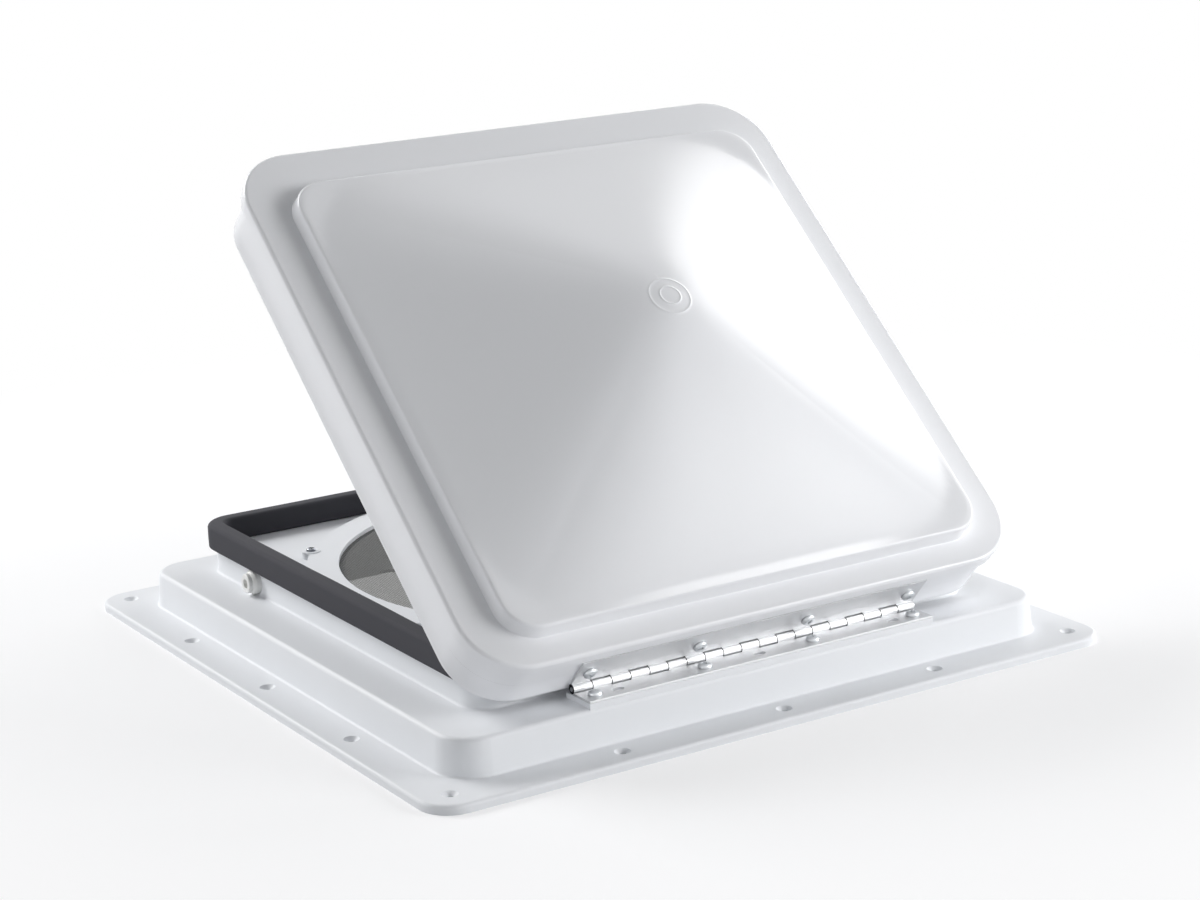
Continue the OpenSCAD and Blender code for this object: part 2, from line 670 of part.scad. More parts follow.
// Height of the dome face above its step, for a place inside its outline
apex_soft = 0.12;
function face_h(x, y) = let (
  p = ridge_power,
  m = pow(pow(abs(x) / dome_half, p) + pow(abs(y) / dome_half, p), 1 / p),
  s = max(0, (1 - sqrt(m * m + apex_soft * apex_soft)) / (1 - apex_soft))) dome_h * pow(s, dome_curve);

// Points of one skin of the dome, drop below the outer skin
step_top = rim_top + step_h;
dome_steps = [for (i = [0:10]) 0.965 - 0.0875 * i];
function skin_points(drop, foot) = let (h = dome_half - drop, r = dome_r - drop, z = step_top - drop) concat(
  [for (l = concat([[0, foot]], arc(dome_draft + dome_edge_r, z - dome_edge_r, dome_edge_r, 180, 90, 2)))
    for (p = ring_points(h - l[0], r - l[0], 4, 8)) [p[0], p[1], l[1]]],
  [for (t = dome_steps) let (in = dome_draft + dome_edge_r)
    for (p = ring_points((h - in) * t, (r - in) * t, 4, 8)) [p[0], p[1], z + face_h(p[0], p[1])]],
  [[0, 0, z + face_h(0, 0)]]);

// Dome as a closed shell of two skins
module dome() {
  m = 48;
  rows = len(dome_steps) + 4;
  foot = rim_top - lid_wall / 2;
  second = rows * m + 1;
  function strip(o, flip) = concat(
    [for (j = [0:rows - 2], i = [0:m - 1])
      let (a = o + j * m + i, b = o + j * m + (i + 1) % m, c = a + m, d = b + m)
      each flip ? [[a, b, c], [b, d, c]] : [[a, c, b], [b, c, d]]],
    [for (i = [0:m - 1]) let (last = o + (rows - 1) * m, a = last + i, b = last + (i + 1) % m, c = last + m)
      flip ? [a, b, c] : [a, c, b]]);
  polyhedron(concat(skin_points(0, foot), skin_points(lid_wall, foot)),
    concat(strip(0, false), strip(second, true), [for (i = [0:m - 1]) let (a = i, b = (i + 1) % m)
      each [[a, b, second + a], [b, second + b, second + a]]]));
}

module lid_shell() color(white) on_lid() difference() {
  lip_low = rim_top - rim_side;
  mark_h = 0.7;
  mark_w = 1;
  union() {
    difference() {
      translate([0, centre_y, 0]) {
        around(skirt_half - skirt_r) polygon(concat(
          [[skirt_r - lid_wall, skirt_low], [skirt_r, skirt_low], [skirt_r, lip_low - rim_lip / 2],
            [skirt_r + rim_lip, lip_low]],
          arc(skirt_r + rim_lip - rim_edge_r, rim_top - rim_edge_r, rim_edge_r, 0, 90),
          [[0, rim_top], [0, rim_low], [skirt_r - lid_wall - rim_lip, rim_low],
            [skirt_r - lid_wall, rim_low - rim_lip]]));
        translate([0, 0, rim_top - lid_wall / 2])
          cube([2 * (skirt_half - skirt_r), 2 * (skirt_half - skirt_r), lid_wall], center = true);
        around(riser_half - riser_r) translate([riser_r - riser_wall, seal_top + seat_gap])
          square([riser_wall, rim_low + lid_wall / 2 - seal_top - seat_gap]);
      }
      translate([0, dome_y, 0])
        block(dome_half - lid_wall / 2, dome_r - lid_wall / 2, skirt_low, rim_top + eps);
    }
    translate([0, dome_y, 0]) dome();
    for (r = [mark_r, mark_r / 2]) translate([0, dome_y, step_top + face_h(r, 0) - lid_wall / 2])
      difference() {
        cylinder(h = lid_wall / 2 + mark_h, r = r);
        translate([0, 0, -eps]) cylinder(h = lid_wall + mark_h + eps, r = r - mark_w);
      }
    box([track_foot_x + lid_wall, track_y0 - track_pad_h, track_foot_z],
      [track_foot_end, track_y1 + track_pad_h, rim_low + lid_wall / 2]);
  }
  lid_leaf_places() translate([0, 0, -lid_wall - leaf_t - eps])
    cylinder(h = lid_wall + leaf_t + 2 * eps, r = screw_r + run_gap);
  track_screw_places() cylinder(h = track_t + track_pad_h + lid_wall / 2, r = small_r + run_gap);
}

// Places of the track screws, on the underside of the track foot
module track_screw_places() for (y = [track_y0 + track_pad_h, track_y1 - track_pad_h])
  translate([track_foot_x + track_end, y, track_foot_z - track_t]) children();

module lift_track() color(steel) on_lid() difference() {
  union() {
    box([track_wall_x - track_t, track_y0, track_foot_z - track_t],
      [track_foot_end - seat_gap, track_y1, track_foot_z]);
    box([track_wall_x - track_t, track_y0, track_foot_z - track_t], [track_wall_x, track_y1, track_top]);
    box([track_x, track_y0, track_top - track_t], [track_wall_x, track_y1, track_top]);
    box([track_x, track_y0, track_z - 2 * slide_r], [track_x + track_t, track_y1, track_top]);
  }
  for (y = [track_near, track_far])
    bar_x(track_x - eps, track_x + track_t + eps, y, track_z, slide_r + slide_gap);
  box([track_x - eps, track_near, track_z - slide_r - slide_gap],
    [track_x + track_t + eps, track_far, track_z + slide_r + slide_gap]);
  track_screw_places() translate([0, 0, -eps]) cylinder(h = track_t + 2 * eps, r = small_r + run_gap);
}

module track_screws() color(steel) on_lid() track_screw_places() mirror([0, 0, 1])
  small_screw(track_t + track_pad_h + lid_wall / 3);

module lift_arm() color(steel) on_arm() difference() {
  union() {
    side_plate(arm_x, arm_x + arm_t) {
      circle(pivot_r + 4);
      translate([0, -arm_w / 2]) square([arm_l, arm_w]);
      translate([arm_l, 0]) circle(slide_r + 2);
    }
    bar_x(arm_x, gear_x - sector_t / 2, 0, 0, pivot_r + 3);
  }
  bar_x(arm_x - eps, gear_x, 0, 0, pivot_r + run_gap);
  bar_x(arm_x - eps, arm_x + arm_t + eps, arm_l, 0, slide_pin_r + run_gap);
}

// The sector is drawn as it stands with the lid open, with a tooth gap level with the pivot
module sector_gear() color(nylon) translate([0, pivot_y, pivot_z]) {
  tooth = worm_pitch / PI;
  root_r = sector_r - 1.15 * tooth;
  tip_r = sector_r + 0.9 * tooth;
  first = -2;
  last = ceil((arm_open - arm_closed + 14) / (360 / wheel_teeth));
  start = (first - 0.2) * 360 / wheel_teeth;
  stop = (last + 1.2) * 360 / wheel_teeth;
  side_plate(gear_x - sector_t / 2, gear_x + sector_t / 2) difference() {
    union() {
      circle(pivot_r + 4.5);
      intersection() {
        circle(root_r);
        polygon(concat([[0, 0]], arc(0, 0, 2 * root_r, start, stop, 4)));
      }
      for (k = [first:last]) rotate((k + 0.5) * 360 / wheel_teeth)
        polygon([[root_r - 1, -0.8 * tooth], [root_r, -0.72 * tooth], [tip_r, -0.28 * tooth],
          [tip_r, 0.28 * tooth], [root_r, 0.72 * tooth], [root_r - 1, 0.8 * tooth]]);
    }
    circle(pivot_r + run_gap);
  }
}

module slide_pin() color(steel) on_arm() {
  bar_x(arm_x - 1.5, arm_x, arm_l, 0, slide_pin_r + 1.2);
  bar_x(arm_x, track_x + track_t + 1.5, arm_l, 0, slide_pin_r);
}

module slide_bush() color(nylon) on_arm() difference() {
  union() {
    bar_x(arm_x + arm_t, track_x - seat_gap, arm_l, 0, slide_r + 1.5);
    bar_x(arm_x + arm_t, track_x + track_t + 1, arm_l, 0, slide_r);
  }
  bar_x(arm_x, track_x + track_t + 2, arm_l, 0, slide_pin_r + run_gap);
}

module gear_housing() color(grey) difference() {
  plate_top = housing_z + housing_t;
  bearing_z = worm_high + seat_gap;
  cheek_r = pivot_r + 5;
  post_y = worm_y + spindle_r + 5;
  union() {
    box([cheek_in_x, housing_y0, housing_z], [opening_half, housing_y1, plate_top]);
    box([opening_half - housing_t, housing_y0, housing_z - housing_wall_h],
      [opening_half, housing_y1, plate_top]);
    for (x = [cheek_in_x, cheek_out_x]) side_plate(x, x + housing_t) {
      translate([pivot_y, pivot_z]) circle(cheek_r);
      translate([pivot_y - cheek_r, housing_z]) square([2 * cheek_r, pivot_z - housing_z]);
    }
    box([cheek_out_x, pivot_y, housing_z], [cheek_out_x + housing_t, post_y, bearing_z + housing_t]);
    box([gear_x - 2 * spindle_r, worm_y - 1.5 * spindle_r, bearing_z],
      [cheek_out_x + housing_t, post_y, bearing_z + housing_t]);
    translate([gear_x, worm_y, housing_z]) cylinder(h = worm_low - seat_gap - housing_z, r = spindle_r + 2.2);
  }
  bar_x(cheek_in_x - eps, cheek_out_x + housing_t + eps, pivot_y, pivot_z, pivot_r + run_gap);
  translate([gear_x, worm_y, 0]) cylinder(h = rim_top, r = spindle_r + run_gap);
  wall_screw_places() translate([0, 0, -eps]) cylinder(h = housing_t + 2 * eps, r = small_r + run_gap);
}

module housing_screws() color(steel) for (y = housing_screw_y)
  translate([opening_half - housing_t, y, housing_screw_z]) rotate([0, -90, 0])
    small_screw(housing_t + riser_wall + screw_end);

module arm_pivot_pin() color(steel) {
  bar_x(cheek_in_x - 2, cheek_in_x, pivot_y, pivot_z, pivot_r + 2);
  difference() {
    bar_x(cheek_in_x - eps, cheek_out_x + housing_t + 3, pivot_y, pivot_z, pivot_r);
    clip_cut(pivot_r);
  }
}

// Groove for the clip at the end of the pivot pin
module clip_cut(r) difference() {
  bar_x(clip_x, clip_x + clip_t, pivot_y, pivot_z, r + eps);
  bar_x(cheek_out_x, cheek_out_x + 3 * housing_t, pivot_y, pivot_z, r - clip_depth);
}

module pivot_clip() color(steel) difference() {
  bar_x(clip_x, clip_x + clip_t, pivot_y, pivot_z, pivot_r + 2);
  bar_x(cheek_out_x, cheek_out_x + 3 * housing_t, pivot_y, pivot_z, pivot_r - clip_depth + run_gap);
  box([cheek_out_x, pivot_y - pivot_r + 1, pivot_z],
    [cheek_out_x + 3 * housing_t, pivot_y + pivot_r - 1, pivot_z + 3 * pivot_r]);
}

// Worm thread: a ridge wound round the spindle, level with the pivot where it faces the sector
module worm_thread() {
  tooth = worm_pitch / PI;
  core = worm_r - 1.6 * tooth;
  turns = 1.42;
  n = 64;
  mesh_angle = 270;
  ridge = [for (i = [0:n])
    let (a = 360 * turns * (2 * i / n - 1), z = worm_pitch * a / 360, b = a + mesh_angle)
    each [for (q = [[core, -0.78], [worm_tip_r, -0.3], [worm_tip_r, 0.3], [core, 0.78]])
      [q[0] * cos(b), q[0] * sin(b), z + q[1] * tooth]]];
  sides = [for (i = [0:n - 1], j = [0:3]) let (a = 4 * i + j, b = 4 * i + (j + 1) % 4)
    each [[a, b, a + 4], [b, b + 4, a + 4]]];
  ends = [[0, 2, 1], [0, 3, 2], [4 * n, 4 * n + 1, 4 * n + 2], [4 * n, 4 * n + 2, 4 * n + 3]];
  polyhedron(ridge, concat(sides, ends));
}

module worm_spindle() color(steel) translate([gear_x, worm_y, 0]) difference() {
  union() {
    translate([0, 0, crank_hub_z])
      cylinder(h = worm_high + seat_gap + housing_t - crank_hub_z, r = spindle_r);
    translate([0, 0, worm_low]) cylinder(h = worm_l, r = worm_r - 1.22 * worm_pitch / PI);
    translate([0, 0, pivot_z]) worm_thread();
  }
  translate([0, 0, crank_hub_z - eps]) cylinder(h = 8 + eps, r = small_r + run_gap);
}

module crank_arm() color(white) translate([gear_x, worm_y, 0]) difference() {
  union() {
    translate([0, 0, crank_hub_z]) cylinder(h = crank_hub_h, r = spindle_r + 4);
    translate([0, 0, crank_z]) linear_extrude(crank_t) {
      translate([-crank_l, -crank_w / 2]) square([crank_l, crank_w]);
      translate([-crank_l, 0]) circle(knob_r - 1);
    }
  }
  translate([0, 0, crank_hub_z - eps]) cylinder(h = crank_hub_h + 2 * eps, r = spindle_r + run_gap);
  translate([-crank_l, 0, crank_z - eps]) cylinder(h = crank_t + 2 * eps, r = knob_pin_r + run_gap);
}

module crank_screw() color(steel) translate([gear_x, worm_y, crank_hub_z]) mirror([0, 0, 1])
  screw(small_r, 7, spindle_r + 2, small_head_h);

module knob_pin() color(steel) translate([gear_x - crank_l, worm_y, 0]) {
  low = crank_z - knob_l - 2 * seat_gap;
  translate([0, 0, crank_z + crank_t]) cylinder(h = pin_head_h, r = knob_pin_r + pin_head_w);
  translate([0, 0, low]) cylinder(h = crank_z + crank_t - low, r = knob_pin_r);
  translate([0, 0, low - pin_head_h]) cylinder(h = pin_head_h, r = knob_pin_r + pin_head_w);
}

module crank_knob() color(white) translate([gear_x - crank_l, worm_y, crank_z - seat_gap - knob_l])
  rotate_extrude() polygon([[knob_pin_r + run_gap, 0], [knob_r - 2.2, 0], [knob_r - 0.6, 1.2], [knob_r, 3.5],
    [knob_r - 0.8, 0.55 * knob_l], [knob_r - 2.4, knob_l - 1], [knob_r - 2.8, knob_l],
    [knob_pin_r + run_gap, knob_l]]);

// One blade: sections from root to tip that widen and flatten, with a little camber
module blade() {
  sections = 6;
  across = 5;
  thick = 1.8;
  camber = 0.07;
  root_r = hub_r - 2;
  function section(i) = let (t = i / (sections - 1), r = root_r + (fan_r - root_r) * t,
    chord = blade_root + (blade_tip - blade_root) * t, pitch = 26 - 9 * t) concat(
    [for (j = [0:across - 1]) let (u = j / (across - 1) - 0.5)
      [r, u * chord, thick / 2 * cos(160 * u) + camber * chord * (0.25 - u * u), pitch]],
    [for (j = [0:across - 1]) let (u = 0.5 - j / (across - 1))
      [r, u * chord, -thick / 2 * cos(160 * u) + camber * chord * (0.25 - u * u), pitch]]);
  m = 2 * across;
  points = [for (i = [0:sections - 1]) each [for (p = section(i))
    [p[0], p[1] * cos(p[3]) - p[2] * sin(p[3]), p[1] * sin(p[3]) + p[2] * cos(p[3])]]];
  skin = [for (i = [0:sections - 2], j = [0:m - 1]) let (a = i * m + j, b = i * m + (j + 1) % m)
    each [[a, b, a + m], [b, b + m, a + m]]];
  root = [for (j = [1:m - 2]) [0, j + 1, j]];
  tip = [for (j = [1:m - 2]) let (o = (sections - 1) * m) [o, o + j, o + j + 1]];
  polyhedron(points, concat(skin, root, tip));
}

module fan_rotor() color(grey) translate([0, centre_y, 0]) difference() {
  union() {
    translate([0, 0, hub_low]) rotate_extrude() polygon(concat([[0, 0], [hub_r, 0]],
      arc(hub_r - 3, hub_high - hub_low - 3, 3, 0, 90, 4), [[0, hub_high - hub_low]]));
    for (i = [0:blades - 1]) rotate(i * 360 / blades) translate([0, 0, fan_z]) blade();
  }
  translate([0, 0, hub_low - eps]) cylinder(h = hub_high - hub_low + 2 * eps, r = shaft_r + run_gap);
}

module motor_shaft() color(steel) translate([0, centre_y, strap_z + strap_t + motor_floor])
  cylinder(h = hub_high + nut_h + seat_gap - strap_z - strap_t - motor_floor, r = shaft_r);

module hub_nut() color(steel) translate([0, centre_y, hub_high]) difference() {
  cylinder(h = nut_h, r = shaft_r + 3, $fn = 6);
  translate([0, 0, -eps]) cylinder(h = nut_h + 2 * eps, r = shaft_r + run_gap);
}

// Places of the motor screws, on the underside of the bracket
module motor_screw_places() for (s = [-1, 1]) translate([s * motor_r * 0.62, centre_y, strap_z]) children();

module fan_motor() color(steel) difference() {
  translate([0, centre_y, strap_z + strap_t]) rotate_extrude() polygon(concat(
    [[0, 0], [motor_r - 1, 0], [motor_r, 1]],
    arc(motor_r - 3, motor_h - 3, 3, 0, 90, 4), [[shaft_r + 6, motor_h], [0, motor_h]]));
  translate([0, centre_y, strap_z + strap_t + motor_floor - seat_gap])
    cylinder(h = motor_h, r = shaft_r + run_gap);
  motor_screw_places() cylinder(h = strap_t + 8, r = small_r + run_gap);
}

module motor_screws() color(steel) motor_screw_places() mirror([0, 0, 1]) small_screw(strap_t + 7);

module motor_bracket() color(steel) difference() {
  union() {
    box([-opening_half, centre_y - strap_w / 2, strap_z],
      [opening_half, centre_y + strap_w / 2, strap_z + strap_t]);
    for (s = [-1, 1]) translate([s * (opening_half - strap_t / 2), centre_y, strap_z + bracket_h / 2])
      cube([strap_t, strap_w, bracket_h], center = true);
  }
  motor_screw_places() translate([0, 0, -eps]) cylinder(h = strap_t + 2 * eps, r = small_r + run_gap);
  wall_screw_places() translate([0, 0, -eps]) cylinder(h = strap_t + 2 * eps, r = small_r + run_gap);
}

module bracket_screws() color(steel) for (s = [-1, 1], k = [-1, 1])
  translate([s * (opening_half - strap_t), centre_y + k * strap_w / 4, bracket_screw_z])
    rotate([0, -90 * s, 0]) small_screw(strap_t + riser_wall + screw_end);

base_frame();
rim_seal();
shroud_panel();
panel_screws();
insect_screen();
screen_ring();
ring_screws();
guide_bushes();
bush_screws();
hinge_base_leaf();
hinge_pin();
base_leaf_screws();
motor_bracket();
bracket_screws();
fan_motor();
motor_screws();
gear_housing();
housing_screws();
arm_pivot_pin();
pivot_clip();
lid_shell();
hinge_lid_leaf();
lid_leaf_screws();
lift_track();
track_screws();
lift_arm();
sector_gear();
slide_pin();
slide_bush();
worm_spindle();
crank_arm();
crank_screw();
knob_pin();
crank_knob();
fan_rotor();
motor_shaft();
hub_nut();
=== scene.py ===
"""Caravan roof vent: dresses the packed model with its lid, seal, insect screen, screws and finishes."""

import json
import math

import bmesh
import bpy
from bpy.props import FloatProperty, FloatVectorProperty, PointerProperty
from mathutils import Matrix, Vector


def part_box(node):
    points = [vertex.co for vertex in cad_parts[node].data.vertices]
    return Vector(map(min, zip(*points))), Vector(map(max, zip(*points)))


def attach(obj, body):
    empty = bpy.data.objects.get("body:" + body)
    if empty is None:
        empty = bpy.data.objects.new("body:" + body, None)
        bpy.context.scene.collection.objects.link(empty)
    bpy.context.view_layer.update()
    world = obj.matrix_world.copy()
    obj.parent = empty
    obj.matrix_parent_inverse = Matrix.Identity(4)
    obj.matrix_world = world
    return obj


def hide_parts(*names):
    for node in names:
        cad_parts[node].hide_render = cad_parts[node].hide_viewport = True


bl_info = {
    "name": "Roof vent",
    "version": (1, 0, 0),
    "blender": (4, 5, 0),
    "location": "View3D > Sidebar > Roof vent",
    "description": "Builds the lid, edge seal, insect screen, screws and finishes of a caravan roof vent",
    "category": "Add Mesh",
}

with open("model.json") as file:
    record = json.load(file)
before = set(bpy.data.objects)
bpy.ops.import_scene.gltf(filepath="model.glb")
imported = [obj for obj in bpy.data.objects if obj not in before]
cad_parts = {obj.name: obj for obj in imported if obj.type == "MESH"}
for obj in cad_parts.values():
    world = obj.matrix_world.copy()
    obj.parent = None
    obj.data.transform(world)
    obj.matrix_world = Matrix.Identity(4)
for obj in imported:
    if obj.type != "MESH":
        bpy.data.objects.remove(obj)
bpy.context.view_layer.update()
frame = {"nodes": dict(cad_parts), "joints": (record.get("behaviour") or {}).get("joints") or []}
JOINTS = {joint["name"]: joint for joint in frame["joints"]}
HINGE = Vector(JOINTS["lid_hinge"]["pos_m"])
OPEN_ANGLE = math.radians(-JOINTS["lid_hinge"]["range_deg"][0])
SEAL_LOW, SEAL_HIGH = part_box("rim_seal")
SCREEN_LOW, SCREEN_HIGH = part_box("insect_screen")
MIDDLE_Y = (SEAL_LOW.y + SEAL_HIGH.y) / 2

# Hinge: length and radius of a knuckle, and half the width of the painted shade in a gap
KNUCKLE_LENGTH = 0.0127
KNUCKLE_RADIUS = 0.0032
KNUCKLE_GAP = 0.00035
# Near-black colour of the painted shade in the knuckle gaps
GAP_SHADE = (0.02, 0.02, 0.024, 1.0)

# Half widths of the dome's last rings, close together where the moulding mark rises
MARK_RINGS = [0.0150, 0.0142, 0.0136, 0.0130, 0.0124, 0.0116, 0.0100, 0.0080, 0.0072, 0.0068, 0.0065, 0.0062,
              0.0058, 0.0050, 0.0030, 0.0012]

# Half width of the dome's top that these rings cover, and widths of the mark's two raised rings
MARK_REGION = 0.017
OUTER_MARK_WIDTH = 0.0006
INNER_MARK_WIDTH = 0.0005

# Stage: sensor width in mm, point that the lamps face, and where the floor's shadow starts to fade
SENSOR_WIDTH = 36.0
LAMP_AIM = (0.0, 0.0, 0.1)
FLOOR_HALF = 6.0
WHITE = (1.0, 1.0, 1.0, 1.0)
SHADOW_REACH = 0.38
SHADOW_FADE = 0.5

# Finish of each CAD node that stays in view
FINISH_OF_NODE = {
    "white_satin": ["base_frame", "shroud_panel", "screen_ring"],
    "white_plastic": ["crank_arm", "crank_knob"],
    "hinge_aluminium": ["hinge_base_leaf", "hinge_lid_leaf"],
    "zinc_steel": ["panel_screws", "ring_screws", "bush_screws", "bracket_screws", "motor_screws",
                   "housing_screws", "track_screws", "crank_screw", "pivot_clip"],
    "plain_steel": ["hinge_pin", "motor_bracket", "fan_motor", "arm_pivot_pin", "lift_track", "lift_arm",
                    "slide_pin", "worm_spindle", "knob_pin", "motor_shaft", "hub_nut"],
    "nylon": ["guide_bushes", "sector_gear", "slide_bush"],
    "dark_plastic": ["gear_housing", "fan_rotor"],
}


def length(name, description, default):
    """A size in metres that the user may change."""
    return FloatProperty(name=name, description=description, default=default, unit="LENGTH", precision=5)


def number(name, description, default):
    """A plain number that the user may change."""
    return FloatProperty(name=name, description=description, default=default)


def watts(name, description, default):
    """The power of a lamp in watts."""
    return FloatProperty(name=name, description=description, default=default, subtype="POWER")


def colour(name, description, default):
    """A colour that the user may change."""
    return FloatVectorProperty(name=name, description=description, default=default, size=3,
                               subtype="COLOR", min=0.0, max=1.0)


class VentLidSizes(bpy.types.PropertyGroup):
    """Sizes of the lid, drawn shut."""

    skirt_half: length("Skirt half width", "Half the width of the lid over its skirt", 0.1865)
    skirt_radius: length("Skirt corner", "Corner radius of the skirt", 0.035)
    skirt_low: length("Skirt foot", "Height of the skirt's lower edge above the roof", 0.0315)
    wall: length("Wall", "Thickness of the moulding", 0.0025)
    rim_lip: length("Rim lip", "How far the rim stands out from the skirt", 0.003)
    rim_top: length("Rim height", "Height of the rim above the roof", 0.0704)
    rim_round: length("Rim round", "Radius on the edge of the rim", 0.0025)
    rim_side: length("Rim side", "Height of the side of the rim", 0.0085)
    dome_half: length("Dome half width", "Half the width of the dome at its foot", 0.1653)
    dome_radius: length("Dome corner", "Corner radius of the dome", 0.022)
    dome_shift: length("Dome offset", "Offset of the dome towards the hinge", 0.0073)
    dome_step: length("Dome step", "Height of the step at the foot of the dome", 0.010)
    dome_edge: length("Dome edge", "Radius on the upper edge of the step", 0.002)
    dome_foot: length("Dome foot", "Radius in the corner at the foot of the dome", 0.0006)
    dome_rise: length("Dome rise", "Height of the dome above its step", 0.056)
    dome_curve: number("Hollowness", "1 for flat dome faces, more for hollow ones", 1.12)
    ridge_power: number("Ridge sharpness", "Sharpness of the dome's four ridges", 5.5)
    apex_soft: number("Apex softness", "Share of the dome that is rounded at the top", 0.2)
    mark_radius: length("Mark radius", "Radius of the round moulding mark on the dome", 0.013)
    mark_relief: length("Mark relief", "Height of the rings of the moulding mark", 0.0003)


class VentSealSizes(bpy.types.PropertyGroup):
    """Sizes of the edge seal on the riser."""

    riser_half: length("Riser half width", "Half the outer width of the riser", 0.175)
    riser_radius: length("Riser corner", "Outer corner radius of the riser", 0.016)
    riser_wall: length("Riser wall", "Thickness of the riser wall", 0.003)
    riser_top: length("Riser height", "Height of the riser above the roof", 0.0555)
    fit: length("Fit", "Room left between the seal and the riser", 0.0003)
    sway: length("Sway", "How far the soft seal wanders from a straight line", 0.0003)


class VentScreenSizes(bpy.types.PropertyGroup):
    """Sizes of the woven insect screen."""

    pitch: length("Pitch", "Distance between neighbouring wires", 0.0016)
    wire: length("Wire radius", "Radius of one wire", 0.0003)


class VentScrewSizes(bpy.types.PropertyGroup):
    """Sizes of the pan-head screws in the hinge leaves."""

    head_radius: length("Head radius", "Radius of the screw head", 0.0042)
    head_height: length("Head height", "Height of the screw head", 0.0026)
    shank_radius: length("Shank radius", "Radius of the screw shank", 0.0019)
    recess_width: length("Recess width", "Width of one arm of the cross recess", 0.0009)
    recess_reach: length("Recess reach", "Reach of one arm of the cross recess", 0.0024)
    recess_depth: length("Recess depth", "Depth of the cross recess", 0.0014)


class VentColours(bpy.types.PropertyGroup):
    """Colours of the finishes."""

    white: colour("Lid white", "Colour of the glossy white plastic", (0.735, 0.753, 0.795))
    satin: colour("Base white", "Colour of the satin white plastic", (0.87, 0.885, 0.91))
    seal: colour("Seal", "Colour of the black edge seal", (0.010, 0.010, 0.013))
    screen: colour("Screen", "Colour of the insect screen", (0.86, 0.85, 0.80))
    aluminium: colour("Aluminium", "Colour of the hinge leaves", (0.70, 0.705, 0.715))
    zinc: colour("Zinc", "Colour of the plated screws", (0.30, 0.315, 0.345))
    steel: colour("Steel", "Colour of the plated steel pieces", (0.52, 0.53, 0.55))
    nylon: colour("Nylon", "Colour of bushes and gear", (0.86, 0.86, 0.84))
    dark: colour("Dark plastic", "Colour of fan and gear housing", (0.045, 0.046, 0.05))


class VentStage(bpy.types.PropertyGroup):
    """Camera, lamps and floor."""

    camera: FloatVectorProperty(name="Camera", description="Place of the camera", subtype="TRANSLATION",
                                unit="LENGTH", default=(-0.8584, -1.4235, 0.5484))
    look: FloatVectorProperty(name="Look", description="Viewing direction of the camera", subtype="DIRECTION",
                              default=(0.5077, 0.8235, -0.2532))
    upright: FloatVectorProperty(name="Upright", description="Upward direction of the picture",
                                 subtype="DIRECTION", default=(0.1665, 0.1946, 0.9666))
    focal: number("Focal length", "Focal length for a 36 mm wide sensor", 81.98)
    horizon: number("Horizon light", "Light of the surroundings at eye level", 0.225)
    zenith: number("Overhead light", "Light of the surroundings overhead", 0.03)
    key: watts("Key lamp", "Power of the large lamp high on the right", 23.0)
    front: watts("Front lamp", "Power of the lamp to the right of the camera", 39.0)
    fill: watts("Fill lamp", "Power of the lamp near the camera", 5.0)
    back: watts("Back lamp", "Power of the lamp behind the open lid", 47.0)
    left: watts("Left lamp", "Power of the low lamp on the left", 6.0)
    floor_glow: number("Floor glow", "Share of the floor's white that shadow leaves", 0.54)


class NodeTree:
    """A node tree that is written as calls and expressions."""

    def __init__(self, tree):
        self.tree = tree

    def node(self, kind, settings=None, **inputs):
        """Adds a node, sets its settings and then its sockets, which are named or numbered as in_0."""
        made = self.tree.nodes.new(kind)
        for key, value in (settings or {}).items():
            if key == "stops":
                self.set_stops(made.color_ramp, value)
            else:
                setattr(made, key, value)
        for key, value in inputs.items():
            name = int(key[3:]) if key.startswith("in_") else key.replace("_", " ")
            self.feed(made.inputs[name], value)
        return made

    def feed(self, socket, value):
        """Links a socket to another, or sets its own value."""
        if isinstance(value, Value):
            value = value.socket
        if isinstance(value, bpy.types.NodeSocket):
            self.tree.links.new(value, socket)
        else:
            socket.default_value = value

    @staticmethod
    def set_stops(ramp, stops):
        """Gives a colour ramp its stops, as pairs of place and grey level."""
        while len(ramp.elements) > 1:
            ramp.elements.remove(ramp.elements[-1])
        for i, (place, level) in enumerate(stops):
            stop = ramp.elements[0] if i == 0 else ramp.elements.new(place)
            stop.position = place
            stop.color = (level, level, level, 1.0)

    def value(self, made, output=0):
        """An output of a node, ready for expressions."""
        return Value(self, made.outputs[output])


class Value:
    """A number socket that takes part in Python expressions."""

    def __init__(self, tree, socket):
        self.tree = tree
        self.socket = socket

    def math(self, operation, first, second=None):
        inputs = {"in_0": first}
        if second is not None:
            inputs["in_1"] = second
        return self.tree.value(self.tree.node("ShaderNodeMath", {"operation": operation}, **inputs))

    def __add__(self, other):
        return self.math("ADD", self, other)

    __radd__ = __add__

    def __sub__(self, other):
        return self.math("SUBTRACT", self, other)

    def __rsub__(self, other):
        return self.math("SUBTRACT", other, self)

    def __mul__(self, other):
        return self.math("MULTIPLY", self, other)

    __rmul__ = __mul__

    def __pow__(self, other):
        return self.math("POWER", self, other)

    def greater(self, other):
        return self.math("MAXIMUM", self, other)

    def lesser(self, other):
        return self.math("MINIMUM", self, other)

    def root(self):
        return self.math("SQRT", self)

    def fraction(self):
        return self.math("FRACT", self)

    def size(self):
        return self.math("ABSOLUTE", self)


